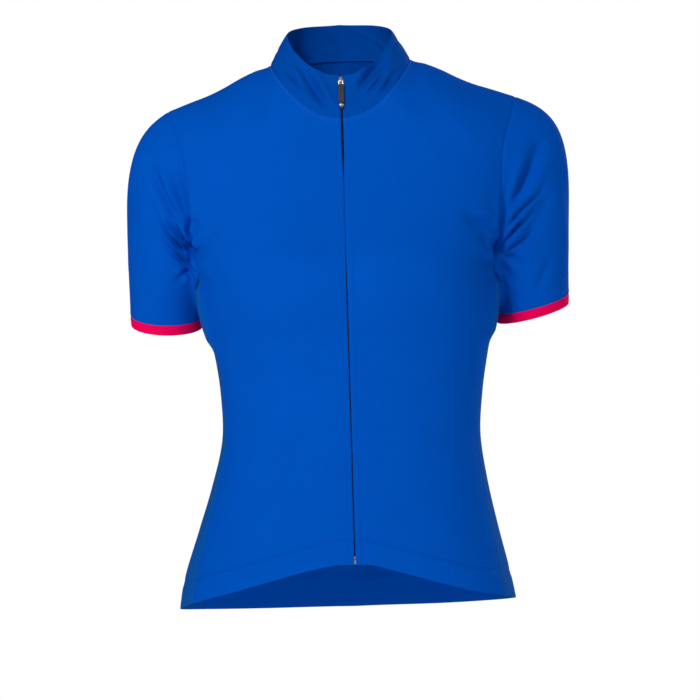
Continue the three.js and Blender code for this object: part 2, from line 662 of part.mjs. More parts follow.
// The retainer box at the zip's foot, between the fronts' edges
const [foot, above] = [grids.front_left[0][0].point, grids.front_left[1][0].point];
const footUp = above.clone().sub(foot).normalize();
const footIn = footUp.clone().cross(across).normalize();
const footPlace = new THREE.Matrix4().makeBasis(across, footIn, footUp).setPosition(foot);
const box = block(BOX.halfWidth, [-BOX.behind, BOX.proud], [BOX.foot, BOX.foot + BOX.height]);
addPiece("zip_box", "metal", box, footPlace);

export default jersey;
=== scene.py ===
# A short-sleeved cycling jersey with a stand collar, a full-length zip and red cuff bands.
# Its cut is worked out in millimetres: +Z up, -Y the front, +X its own left side.
from math import cos, pi, radians, sin, sqrt

import bmesh
import bpy
import numpy as np
from mathutils import Matrix, Vector
from mathutils.kdtree import KDTree


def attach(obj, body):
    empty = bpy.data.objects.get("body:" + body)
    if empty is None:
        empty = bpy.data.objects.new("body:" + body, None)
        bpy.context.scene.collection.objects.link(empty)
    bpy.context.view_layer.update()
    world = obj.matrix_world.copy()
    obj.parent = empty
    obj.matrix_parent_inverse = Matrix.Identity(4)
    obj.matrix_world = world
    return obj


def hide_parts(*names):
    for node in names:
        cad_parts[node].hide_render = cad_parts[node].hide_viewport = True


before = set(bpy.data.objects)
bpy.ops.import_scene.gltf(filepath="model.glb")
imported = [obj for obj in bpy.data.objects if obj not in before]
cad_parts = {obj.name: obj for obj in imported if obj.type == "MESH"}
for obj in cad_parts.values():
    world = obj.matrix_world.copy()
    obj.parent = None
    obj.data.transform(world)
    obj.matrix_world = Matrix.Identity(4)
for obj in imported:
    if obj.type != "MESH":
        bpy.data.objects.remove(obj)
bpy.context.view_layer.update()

MM = 0.001
SIGNS = {"left": 1, "right": -1}

# ---- Sizes of the cut, in millimetres and degrees ----

UNDERARM_Z = -226  # the armhole's lowest level
TIP_X, TIP_Z = 191, -44  # the shoulder seam's outer end
SHOULDER_LEAN = 2.8  # how much higher the left shoulder's tip is, and lower the right's
RIDGE_Y = 8  # how far back the shoulder seams lie
RIDGE_ROUNDING = 74  # height over which front and back bend over to the shoulder seam
RIDGE_SHARE = 0.4  # share of the panel's height that the bend takes up
UNDERARM_DIP = 5  # how far the underarm's seam sags between front and back
# The neck seam: half its width, how low its front and high its back is, and how round it is.
NECK_HALF, NECK_DROP, NECK_RISE, NECK_CURVE = 77, 64.5, 10, 1.7
# The collar's top edge, as the neck seam, and how far the strip bows out between the two.
COLLAR_HALF, COLLAR_FRONT, COLLAR_BACK, COLLAR_BOW = 58, 62, 58, 2.5
NECK_SHARE = 6 / 12  # share of a half front's top that meets the collar
CUFF_HEIGHT = 11
KNIT = 0.6  # thickness of the body's knit
COLLAR_THICK = 1.3  # two layers
CUFF_THICK = 1.1
HEM_STITCHES = (24.6, 27.4)  # the coverstitch's two rows, above the edge
HEM_TURN = 26  # height of the turned hem
HEM_EXTRA = 0.35  # thickness that the hem's turned layer adds
SEAM_GAP = 0.01  # so that no light shows through a seam
SEAM_DIP, NECK_SEAM_DIP = 0.3, 0.6  # how deep the stitching pulls a seam in
EDGE_ROUNDING = 0.5  # how near to a free edge the cloth thins and rounds off
ZIP_REACH = 14  # how far from the zip the cloth gives way to its opening
NORMAL_REACH = 9  # how far from a seam its two pieces turn to face one way
CUT_UNIT = 100  # millimetres to a unit of the cut's map


def table(columns, *rows):
    """Rows of numbers under named columns."""
    return dict(zip(columns.split(), np.array(rows, float).T))


torso = table(
    "z right left front back round",
    (-640, 201, 183, 121, 127, 2.2),
    (-600, 194.5, 177, 119, 125, 2.2),
    (-560, 187.5, 169.5, 116, 121, 2.2),
    (-510, 171, 158, 110, 111, 2.15),
    (-460, 154.5, 148, 103, 99, 2.15),
    (-410, 142, 142, 99, 90, 2.15),
    (-360, 142, 146, 102, 91, 2.15),
    (-310, 148.5, 154.5, 110, 96, 2.2),
    (-270, 158, 161, 118, 102, 2.25),
    (UNDERARM_Z, 163, 163, 121, 106, 2.3),
    (-190, 174, 174, 112, 108, 2.35),
    (-150, 184, 184, 99, 108, 2.4),
    (-110, 192, 192, 86, 104, 2.4),
    (-70, 199, 199, 74, 96, 2.4),
    (-30, 204, 204, 62, 84, 2.4),
    (0, 207, 207, 54, 73, 2.4),
    (30, 210, 210, 48, 62, 2.4),
)
shoulder_line = table(
    "x z", (0, 66), (45, 30), (77, 2), (94, -3.5), (112, -11.5), (128, -20), (146, -28), (165, -34.5),
    (TIP_X, TIP_Z), (215, -54),
)
armhole = table(
    "z x", (UNDERARM_Z, 158), (-212, 164), (-195, 168), (-165, 170.5), (-125, 171.5), (-98, 174.5),
    (-75, 181), (TIP_Z, TIP_X),
)
hem = table(
    "angle right left",
    (0, -542, -542), (5, -542, -543), (14, -547.5, -551), (26, -557.5, -561.5), (44, -571, -575),
    (71, -586, -586), (90, -594, -592), (120, -601, -600), (150, -606, -606), (180, -608, -608),
)
side_seams = table(
    "z front back",
    (-640, 63, 121), (-590, 65, 118), (-500, 69.5, 112), (-400, 73.5, 108), (-300, 74.5, 107),
    (UNDERARM_Z, 75, 106),
)
collar_top = table(
    "angle z",
    (0, -19), (13, -17), (22, -13), (32, -8), (40, -2.5), (49, 5), (60, 13), (72, 23), (90, 34),
    (135, 46), (180, 50),
)
# Half the opening between the zip's cloth edges, by height: it stands a little open at the neck.
zip_opening = table(
    "z half", (-640, 0.8), (-560, 0.75), (-320, 0.7), (-255, 0.6), (-225, 0.3), (-145, 0.25), (-128, 0.6),
    (-105, 1.1), (-80, 1.4), (-55, 1.3), (-10, 1.2),
)
# The sleeves' openings. Below them, over the cap, front, underarm and back: the way that the cloth
# leaves the armhole, how strongly it does, and how strongly it arrives at the cuff.
sleeves = {
    "left": dict(x=206, y=38, z=-279, half_width=41.5, half_depth=45, dip=7, lift=13.5),
    "right": dict(x=-201.2, y=38, z=-281, half_width=40.3, half_depth=45, dip=12, lift=3),
}
sleeve_caps = {"left": ((0.95, 0, -0.3), 230, 420), "right": ((0.88, 0, -0.47), 190, 400)}
sleeve_front = ((0.62, 0.1, -0.77), 70, 110)
sleeve_under = ((0.4, 0.2, -0.9), 16, 14)
sleeve_back = ((0.62, -0.05, -0.78), 70, 110)
ARM_UP = np.array([0, -0.18, 0.984]) / np.linalg.norm([0, -0.18, 0.984])

# The bust's fullness: its middle, the depth at which it is whole, its reach and its height.
BUST = dict(x=74, z=-242, depth=95, radius=50, spread=1.6, height=13.5)

# The largest folds, from one point to another. A minus height is a trough.
folds = table(
    "x0 y0 z0 x1 y1 z1 width height",
    (-218, -28, -104, -178, -48, -196, 9, -4),
    (-203, -44, -150, -172, -46, -208, 6, 3.5),
    (-196, -40, -196, -170, -40, -222, 6, 3),
    (216, -28, -100, 186, -50, -170, 9, -4.5),
    (206, -46, -150, 174, -50, -198, 6, 3.5),
    (222, -30, -134, 174, -44, -204, 7, -3.5),
    (204, -42, -182, 172, -42, -218, 7, 3.5),
    (222, -26, -158, 178, -36, -230, 8, -3),
    (138, -84, -176, 168, -52, -208, 9, -4.5),
    (-146, -76, -182, -168, -52, -200, 9, -3),
    (-160, 50, -205, -120, 92, -160, 12, -3),
    (160, 50, -205, 120, 92, -165, 12, -3),
    (-62, -52, 8, -24, -74, -56, 7, -2.6),
    (58, -44, 8, 20, -72, -44, 7, -2.6),
    (66, -30, 2, 38, -66, -50, 6, -2),
    # fullness that the sleeves push out beside the underarms
    (-157, -28, -250, -152, -26, -296, 13, 6.5),
    (160, -28, -250, 157, -26, -294, 13, 6.5),
)

# Smaller creases, drawn over the front (face -1) or the back (face 1) as bowed lines in x and z, or
# over the left side (face 2) or the right (face -2) in y and z. Each is strongest at the share peak
# of its length.
creases = table(
    "face a0 z0 am zm a1 z1 width height peak",
    # right sleeve, running down into the underarm
    (-1, -210, -105, -197, -143, -175, -185, 3.9, -7.3, 0.55),
    (-1, -209, -141, -194, -176, -168, -204, 2.3, 4.8, 0.68),
    (-1, -207, -155, -191, -188, -170, -210, 2, -5.9, 0.66),
    (-1, -194, -161, -182, -183, -169, -200, 2, -6.2, 0.6),
    (-1, -203, -176, -186, -199, -168, -213, 2.2, 3.6, 0.62),
    (-1, -205, -187, -185, -208, -165, -223, 2.6, -5.3, 0.62),
    (-1, -188, -94, -181, -137, -173, -179, 7.4, -9, 0.75),
    (-1, -190, -237, -178, -227, -164, -216, 2.8, -2.8, 0.6),
    (-1, -172, -159, -171, -173, -169, -188, 2.2, -7.6, 0.6),
    (-1, -173, -193, -169, -201, -163, -206, 3.9, -11.5, 0.5),
    (-1, -183, -214, -173, -223, -163, -238, 2.8, -3.1, 0.5),
    # right chest beside the armhole
    (-1, -168, -165, -164, -174, -157, -181, 4, -3.8, 0.3),
    (-1, -165, -189, -157, -188, -144, -183, 4, 2.6, 0.3),
    (-1, -164, -206, -154, -202, -140, -203, 4.5, -3.1, 0.2),
    (-1, -161, -221, -151, -220, -140, -222, 5, 2.2, 0.3),
    (-1, -159, -237, -151, -234, -141, -235, 4, -2.2, 0.3),
    # left sleeve
    (-1, 215, -99, 200, -134, 176, -172, 5.4, -6.0, 0.55),
    (-1, 224, -126, 209, -153, 177, -183, 3.0, 2.8, 0.5),
    (-1, 220, -143, 197, -162, 171, -190, 2.4, -4.6, 0.62),
    (-1, 214, -156, 191, -176, 169, -199, 2.0, 3.0, 0.62),
    (-1, 211, -166, 187, -185, 167, -209, 1.9, -4.2, 0.68),
    (-1, 214, -175, 189, -192, 166, -213, 2.1, 2.8, 0.66),
    (-1, 220, -186, 192, -201, 165, -217, 2.3, -3.8, 0.68),
    (-1, 211, -221, 188, -211, 166, -210, 2.6, 1.8, 0.66),
    (-1, 202, -234, 184, -219, 165, -213, 2.8, -2.9, 0.62),
    (-1, 187, -248, 176, -232, 164, -218, 2.8, -2.6, 0.6),
    (-1, 175, -257, 170, -244, 163, -225, 2.4, -2.4, 0.5),
    (-1, 226, -219, 216, -238, 204, -260, 4.0, -2.0, 0.5),
    (-1, 179, -131, 176, -161, 167, -198, 4.0, -4.4, 0.6),
    (-1, 168, -197, 164, -206, 161, -218, 4.4, -7.8, 0.5),
    # left chest beside the armhole
    (-1, 130, -180, 148, -179, 164, -185, 4.5, -3.8, 0.7),
    (-1, 132, -196, 147, -198, 161, -207, 5, -2.6, 0.7),
    (-1, 139, -187, 150, -189, 161, -195, 3.6, 1.9, 0.7),
    (-1, 138, -224, 149, -222, 159, -224, 5, -2.6, 0.7),
    # the collar's front, from its top edge down towards the zip
    (-1, -47, -2, -31, -29, -13, -56, 5, -6.4, 0.6),
    (-1, -36, -5, -19, -31, -5, -53, 3, 2.2, 0.5),
    (-1, -59, -6, -52, -19, -41, -33, 2.6, -2.9, 0.5),
    (-1, -55, 2, -43, -17, -27, -42, 2.4, 1.9, 0.5),
    (-1, 55, 10, 38, -11, 16, -36, 5, -6, 0.6),
    (-1, 52, -5, 38, -22, 22, -41, 2.2, 2.2, 0.5),
    (-1, 52, -14, 40, -28, 22, -44, 2.4, -2.9, 0.5),
    (-1, 62, -3, 50, -22, 33, -43, 2.2, 2, 0.5),
    (-1, 59, -17, 51, -29, 41, -42, 2.6, -3.2, 0.5),
    # yoke, below the collar and along the shoulders
    (-1, -70, -34, -104, -66, -132, -118, 14, -1.0, 0.4),
    (-1, 72, -34, 104, -68, 134, -124, 14, -1.1, 0.4),
    (-1, -40, -70, -58, -110, -62, -160, 16, 0.8, 0.5),
    (-1, 40, -72, 60, -112, 66, -160, 16, 0.8, 0.5),
    # waist and skirt: long and shallow, as stretched knit has
    (-1, -138, -330, -104, -356, -58, -366, 13, -1.0, 0.3),
    (-1, -142, -392, -108, -404, -66, -398, 12, -1.1, 0.3),
    (-1, -146, -438, -112, -440, -76, -424, 13, 0.8, 0.3),
    (-1, 140, -340, 108, -362, 62, -368, 13, -1.0, 0.3),
    (-1, 141, -396, 106, -410, 70, -404, 12, -1.0, 0.3),
    (-1, 146, -446, 116, -444, 84, -430, 12, 0.8, 0.3),
    (-1, -96, -470, -104, -520, -112, -572, 16, 0.9, 0.6),
    (-1, 92, -476, 102, -524, 108, -574, 16, 0.9, 0.6),
    (-1, -44, -480, -48, -524, -52, -556, 13, -0.6, 0.6),
    (-1, 46, -486, 52, -526, 54, -558, 13, -0.6, 0.6),
    # the back: across the shoulder blades, out of the underarms and in the small of the back
    (1, -164, -196, -132, -176, -92, -160, 8, -3.4, 0.3),
    (1, -166, -214, -128, -206, -84, -196, 9, -2.8, 0.3),
    (1, -160, -240, -118, -240, -76, -228, 10, -2.2, 0.3),
    (1, 165, -192, 134, -170, 90, -158, 8, -3.4, 0.3),
    (1, 166, -216, 130, -210, 80, -204, 9, -2.6, 0.3),
    (1, 160, -244, 120, -246, 82, -238, 10, -2, 0.3),
    (1, -66, -20, -92, -60, -104, -110, 13, -2.2, 0.4),
    (1, 64, -20, 90, -62, 100, -116, 13, -2.2, 0.4),
    (1, 0, -60, 4, -140, -2, -230, 15, -2.3, 0.5),
    (1, -132, -352, -70, -372, 8, -368, 12, -2.8, 0.5),
    (1, 136, -378, 76, -392, -10, -386, 11, -3.1, 0.5),
    (1, -138, -404, -80, -418, -14, -410, 12, 2.5, 0.4),
    (1, 138, -424, 90, -430, 30, -420, 12, -2.5, 0.4),
    (1, -96, -450, -92, -510, -104, -580, 18, 2.2, 0.6),
    (1, 20, -470, 26, -530, 22, -590, 18, 2.3, 0.6),
    (1, 112, -470, 110, -520, 120, -580, 18, 1.8, 0.6),
    # the backs of the sleeves
    (1, -214, -120, -196, -158, -172, -192, 6, -3.4, 0.5),
    (1, -226, -160, -206, -196, -176, -222, 6, -2.8, 0.5),
    (1, -206, -214, -192, -228, -170, -238, 5, 2.3, 0.5),
    (1, 218, -118, 200, -154, 176, -188, 6, -3.6, 0.5),
    (1, 230, -158, 210, -192, 180, -218, 6, -2.8, 0.5),
    (1, 212, -206, 194, -222, 174, -232, 5, 2.3, 0.5),
    # the sides: short pulls round the waist, and the drape of the sleeves' outer faces
    (2, 22, -318, 56, -332, 104, -322, 8, -1.8, 0.6),
    (2, 34, -352, 66, -362, 108, -350, 8, -2.0, 0.6),
    (2, 18, -386, 52, -394, 98, -384, 9, -1.5, 0.5),
    (2, 30, -424, 62, -432, 102, -422, 9, -1.3, 0.5),
    (2, 52, -470, 48, -520, 58, -580, 12, 1.4, 0.6),
    (2, -24, -96, 6, -150, 22, -208, 9, -1.2, 0.5),
    (2, 62, -118, 52, -170, 34, -226, 8, -1.6, 0.5),
    (-2, 24, -326, 58, -340, 102, -330, 8, -1.8, 0.6),
    (-2, 30, -366, 62, -374, 106, -364, 8, -1.8, 0.6),
    (-2, 20, -400, 54, -406, 96, -396, 9, -1.4, 0.5),
    (-2, 50, -476, 46, -526, 56, -586, 12, 1.4, 0.6),
    (-2, -26, -100, 8, -156, 26, -214, 9, -1.2, 0.5),
    (-2, 60, -122, 48, -176, 30, -232, 8, -1.6, 0.5),
)

# The collar's creases: from one angle round the neck and share of its height to another.
collar_creases = table(
    "a0 v0 a1 v1 width height",
    (96, 0.3, 74, 0.75, 4.0, -1.1),
    (262, 0.3, 283, 0.8, 4.0, -1.2),
    (132, 0.8, 118, 0.15, 4.5, -1.0),
    (170, 0.15, 156, 0.85, 5.0, -0.9),
    (205, 0.85, 216, 0.15, 5.0, -1.0),
    (236, 0.2, 248, 0.8, 4.5, -0.9),
)


# ---- The cut's surfaces ----


def through(rows, key, column):
    """A smooth curve through a table's rows."""
    x, y = rows[key], rows[column]
    slopes = np.empty(len(x))
    slopes[1:-1] = (y[2:] - y[:-2]) / (x[2:] - x[:-2])
    slopes[0] = (y[1] - y[0]) / (x[1] - x[0])
    slopes[-1] = (y[-1] - y[-2]) / (x[-1] - x[-2])

    def read(at):
        at = np.asarray(at, float)
        i = np.clip(np.searchsorted(x, at, "right") - 1, 0, len(x) - 2)
        step = x[i + 1] - x[i]
        t = np.clip((at - x[i]) / step, 0, 1)
        t2, t3 = t * t, t * t * t
        return (
            (2 * t3 - 3 * t2 + 1) * y[i]
            + (t3 - 2 * t2 + t) * step * slopes[i]
            + (3 * t2 - 2 * t3) * y[i + 1]
            + (t3 - t2) * step * slopes[i + 1]
        )

    return read


half_width = {side: through(torso, "z", side) for side in SIGNS}
front_depth = through(torso, "z", "front")
back_depth = through(torso, "z", "back")
roundness = through(torso, "z", "round")
seam_height = through(shoulder_line, "x", "z")
armhole_x = through(armhole, "z", "x")
hem_height = {side: through(hem, "angle", side) for side in SIGNS}
front_seam = through(side_seams, "z", "front")
back_seam = through(side_seams, "z", "back")
collar_height = through(collar_top, "angle", "z")
opening = through(zip_opening, "z", "half")


def side_of(sign):
    return "left" if sign > 0 else "right"


def mix(a, b, t):
    return a + (b - a) * t


def points(x, y, z):
    return np.stack(np.broadcast_arrays(x, y, z), -1).astype(float)


def ridge_height(sign, x):
    return seam_height(x) + sign * SHOULDER_LEAN * x / TIP_X


def ring_point(sign, angle, z):
    """The torso below the underarm, by angle round the body from the front's middle."""
    power = 2 / roundness(z)
    s, c = np.sin(np.radians(angle)), np.cos(np.radians(angle))
    depth = np.where(c > 0, -front_depth(z), back_depth(z))
    x = sign * np.sign(s) * half_width[side_of(sign)](z) * np.abs(s) ** power
    return points(x, depth * np.abs(c) ** power, z)


def yoke_point(sign, face, x, z):
    """The torso above the underarm, bending over to the shoulder seam."""
    n = roundness(z)
    share = np.clip(x / half_width[side_of(sign)](z), 0, 1)
    depth = (-front_depth(z) if face < 0 else back_depth(z)) * (1 - share**n) ** (1 / n)
    risen = np.clip(1 + (z - ridge_height(sign, x)) / RIDGE_ROUNDING, 0, 1)
    return points(sign * x, mix(RIDGE_Y, depth, np.sqrt(1 - risen * risen)), z)


def climb(v):
    straight = 1 - RIDGE_SHARE
    turn = straight / (straight + RIDGE_SHARE * pi / 2)
    bend = straight + RIDGE_SHARE * np.sin(np.clip((v - turn) / (1 - turn), 0, 1) * pi / 2)
    return np.where(v < turn, straight * v / turn, bend)


def half_point(sign, face, across, up):
    """A front or back half: across 0 to 1 from the middle, up -1 to 0 from hem to underarm, 1 at the top."""
    across, up = np.broadcast_arrays(np.asarray(across, float), np.asarray(up, float))
    middle, seam = (0, front_seam) if face < 0 else (180, back_seam)
    side = side_of(sign)
    edge = float(seam(UNDERARM_Z))
    angle = mix(middle, edge, across)
    for _ in range(3):
        z = mix(UNDERARM_Z, hem_height[side](angle), np.clip(-up, 0, 1))
        angle = mix(middle, seam(z), across)
    below = ring_point(sign, angle, z)

    turn = radians(abs(middle - edge))
    low = (np.sin(turn * across) / sin(turn)) ** (2 / float(roundness(UNDERARM_Z)))
    neck_x = NECK_HALF / TIP_X
    on_neck = across < NECK_SHARE
    neck_turn = np.clip(across / NECK_SHARE, 0, 1) * pi / 2
    high = np.where(
        on_neck, neck_x * np.sin(neck_turn), mix(neck_x, 1, (across - NECK_SHARE) / (1 - NECK_SHARE))
    )
    neck_z = -NECK_DROP if face < 0 else NECK_RISE
    neck_share = np.clip(np.cos(neck_turn), 0, 1) ** NECK_CURVE
    top = np.where(
        on_neck, mix(ridge_height(sign, NECK_HALF), neck_z, neck_share), ridge_height(sign, high * TIP_X)
    )
    v = np.clip(up, 0, 1)
    z = mix(UNDERARM_Z, top, climb(v))
    edge_x = armhole_x(mix(UNDERARM_Z, TIP_Z, climb(v)))
    above = yoke_point(sign, face, edge_x * mix(low, high, v * v * (3 - 2 * v)), z)
    return np.where((up <= 0)[..., None], below, above)


def side_point(sign, across, up):
    """A side panel: across 0 to 1 from the front seam to the back seam, up -1 to 0 from the hem."""
    across, up = np.broadcast_arrays(np.asarray(across, float), np.asarray(up, float))
    angle = mix(front_seam(UNDERARM_Z), back_seam(UNDERARM_Z), across)
    for _ in range(3):
        top = UNDERARM_Z - UNDERARM_DIP * np.sin(pi * np.clip(across, 0, 1))
        z = mix(top, hem_height[side_of(sign)](angle), -up)
        angle = mix(front_seam(z), back_seam(z), across)
    return ring_point(sign, angle, z)


def armhole_point(sign, at):
    """The armhole: 0 at the shoulder tip, down the front to 1, under the arm to 2, up the back to 3."""
    q = np.mod(np.asarray(at, float), 3)
    one = np.ones_like(q)
    front = half_point(sign, -1, one, np.clip(1 - q, 0, 1))
    under = side_point(sign, np.clip(q - 1, 0, 1), 0 * q)
    back = half_point(sign, 1, one, np.clip(q - 2, 0, 1))
    return np.where((q <= 1)[..., None], front, np.where((q <= 2)[..., None], under, back))


ARMHOLE_STOPS = np.concatenate([np.linspace(0, 1, 13)[:-1], np.linspace(1, 2, 6)[:-1], np.linspace(2, 3, 13)])


def sleeve_point(sign, at, v):
    """A sleeve: at goes round as armhole_point does, v 0 to 1 down to the cuff and to 2 at its edge."""
    at, v = np.broadcast_arrays(np.asarray(at, float), np.asarray(v, float))
    s = sleeves[side_of(sign)]
    q = np.mod(at, 3)
    stops = armhole_point(sign, np.where(ARMHOLE_STOPS == 3, 0, ARMHOLE_STOPS))
    steps = np.linalg.norm(np.diff(stops, axis=0), axis=1)
    reached = np.concatenate([[0], np.cumsum(steps)])
    turn = np.interp(q, ARMHOLE_STOPS, 2 * pi * reached / reached[-1])
    c, d = np.cos(turn)[..., None], np.sin(turn)[..., None]
    out = np.array([sign * cos(radians(s["lift"])), 0, sin(radians(s["lift"]))])
    dip = s["dip"] / s["half_depth"]
    front = np.array([0, -sqrt(1 - dip * dip), -dip])
    middle = np.array([s["x"], s["y"], s["z"]]) + CUFF_HEIGHT * ARM_UP
    start = armhole_point(sign, q)
    end = middle + out * (s["half_width"] * c) + front * (s["half_depth"] * d)
    leaving, arriving = 0, 0
    eases = (sleeve_caps[side_of(sign)], sleeve_front, sleeve_under, sleeve_back)
    for wave, (way, leave, arrive) in zip((c, d, -c, -d), eases):
        share = np.clip(wave, 0, 1) ** 2
        way = np.array([sign * way[0], way[1], way[2]]) / np.linalg.norm(way)
        leaving = leaving + way * share * leave
        arriving = arriving + share * arrive
    t = np.clip(v, 0, 1)[..., None]
    t2, t3 = t * t, t * t * t
    body = (
        start * (2 * t3 - 3 * t2 + 1) + leaving * (t3 - 2 * t2 + t) + end * (3 * t2 - 2 * t3)
        - ARM_UP * arriving * (t3 - t2)
    )
    return body - ARM_UP * CUFF_HEIGHT * np.clip(v - 1, 0, 1)[..., None]


def collar_point(degrees, v):
    """The collar, by angle round the neck from the front's middle towards its own left side."""
    degrees, v = np.broadcast_arrays(np.asarray(degrees, float), np.asarray(v, float))
    turn = np.clip(degrees, 0, 360)
    left = turn <= 180
    angle = np.where(left, turn, 360 - turn)
    sign = np.where(left, 1, -1)
    front = angle <= 90
    across = np.where(front, angle, 180 - angle) / 90 * NECK_SHARE
    across = np.minimum(across, NECK_SHARE - 1e-9)
    one = np.ones_like(across)
    base = np.zeros(angle.shape + (3,))
    for s in (1, -1):
        for face, where in ((-1, front), (1, ~front)):
            here = where & (sign == s)
            base[here] = half_point(s, face, across, one)[here]
    sa, ca = np.sin(np.radians(angle)), np.cos(np.radians(angle))
    depth = np.where(front, COLLAR_FRONT, COLLAR_BACK)
    top = points(sign * COLLAR_HALF * sa, -ca * depth, collar_height(angle))
    bow = COLLAR_BOW * np.sin(pi * np.clip(v, 0, 1)) * (1 - ca) / 2
    return mix(base, top, v[..., None]) + points(sign * sa * bow, -ca * bow, 0)


# ---- Folds and creases ----


def segment_distance(p, a, b):
    """Distance from points to a segment, and the share of its length nearest to each."""
    along = b - a
    t = np.clip(((p - a) @ along) / (along @ along), 0, 1)
    return np.linalg.norm(p - a - t[..., None] * along, axis=-1), t


def bowed(start, middle, end, count=9):
    t = np.linspace(0, 1, count)[:, None]
    return (1 - t) ** 2 * start + 2 * t * (1 - t) * middle + t * t * end


def near_line(p, line):
    """Distance from points to a line of several segments, and the share of it nearest to each."""
    best = np.full(p.shape[:-1], 1e9)
    share = np.zeros(p.shape[:-1])
    for i in range(len(line) - 1):
        away, t = segment_distance(p, line[i], line[i + 1])
        closer = away < best
        best = np.where(closer, away, best)
        share = np.where(closer, (i + t) / (len(line) - 1), share)
    return best, share


def stand_out(p):
    """The cut's fullness and its largest folds."""
    bust = np.hypot((np.abs(p[..., 0]) - BUST["x"]) / BUST["spread"], p[..., 2] - BUST["z"]) / BUST["radius"]
    on = (p[..., 1] < 0) & (p[..., 2] < -100)
    out = np.where(on, BUST["height"] * np.exp(-bust * bust) * np.clip(-p[..., 1] / BUST["depth"], 0, 1), 0)
    for row in zip(*folds.values()):
        away, _ = segment_distance(p, np.array(row[0:3]), np.array(row[3:6]))
        out = out + row[7] * np.exp(-((away / row[6]) ** 2))
    return out


CREASE_REACH = 4  # in widths of the crease, past which it no longer shows
TAPER_FROM, TAPER_BY = 1.4, 0.65  # a crease's width at its start, and how much of that it loses
PILE, PILE_AWAY = 0.4, 1.9  # height and distance of the low ridge on either side of a trough


def crease(p, n):
    """The smaller creases, where the cloth's normals n face the way that each is drawn on."""
    out = np.zeros(p.shape[:-1])
    for row in zip(*creases.values()):
        face, width, height, peak = row[0], row[7], row[8], row[9]
        flat = p[..., [0, 2]] if abs(face) == 1 else p[..., [1, 2]]
        facing = n[..., 1 if abs(face) == 1 else 0] * np.sign(face)
        line = bowed(np.array(row[1:3]), np.array(row[3:5]), np.array(row[5:7]))
        reach = (np.abs(flat - line.mean(0)) < np.ptp(line, 0) / 2 + CREASE_REACH * width).all(-1)
        if not reach.any():
            continue
        away, share = near_line(flat[reach], line)
        away = away / (TAPER_FROM - TAPER_BY * share)  # it narrows towards where it is pinched
        swell = np.where(share < peak, share / peak, (1 - share) / (1 - peak))
        swell = np.clip(swell, 0, 1)
        swell = (swell * swell * (3 - 2 * swell)) ** 0.6
        side = np.clip(facing[reach] * 4, 0, 1)
        bend = np.exp(-((away / width) ** 2))
        if height < 0:
            bend = bend - PILE * np.exp(-((away / width - PILE_AWAY) ** 2))
        out[reach] += height * swell * side * bend
    return out


# ---- Panels as grids of points ----


BESIDE_SEAM = np.array([0, 0.3, 0.65, 1.1, 1.7, 2.6])  # points that draw a seam's dip
SEAM_CLEAR = 3.4  # and how far from the seam the even ones start
ROUND_ROW = np.array([-1.2, -0.6, 0, 0.6, 1.2])  # points round a row of stitches
ROW_CLEAR = 1.6


def stations(count, length, seams="", extra=()):
    """Shares along a panel's edge, closer together beside a seam and at the distances in extra."""
    close = BESIDE_SEAM / length
    kept = np.linspace(0, 1, count + 1)
    added = [0.0, 1.0]
    if "a" in seams:
        kept = kept[kept > SEAM_CLEAR / length]
        added += list(close)
    if "b" in seams:
        kept = kept[kept < 1 - SEAM_CLEAR / length]
        added += list(1 - close)
    for place in extra:
        ring = place / length + ROUND_ROW / length
        kept = kept[np.abs(kept - place / length) > ROW_CLEAR / length]
        added += list(ring)
    return np.unique(np.round(np.concatenate([kept, added]), 7))


def reach_from(p, axis, backwards=False):
    """Distance over the grid from its first row or column, or from its last."""
    step = np.linalg.norm(np.diff(p, axis=axis), axis=-1)
    zero = np.zeros_like(np.take(step, [0], axis))
    total = np.concatenate([zero, np.cumsum(step, axis)], axis)
    return np.take(total, [-1], axis) - total if backwards else total


def unit(v):
    return v / np.maximum(np.linalg.norm(v, axis=-1, keepdims=True), 1e-12)


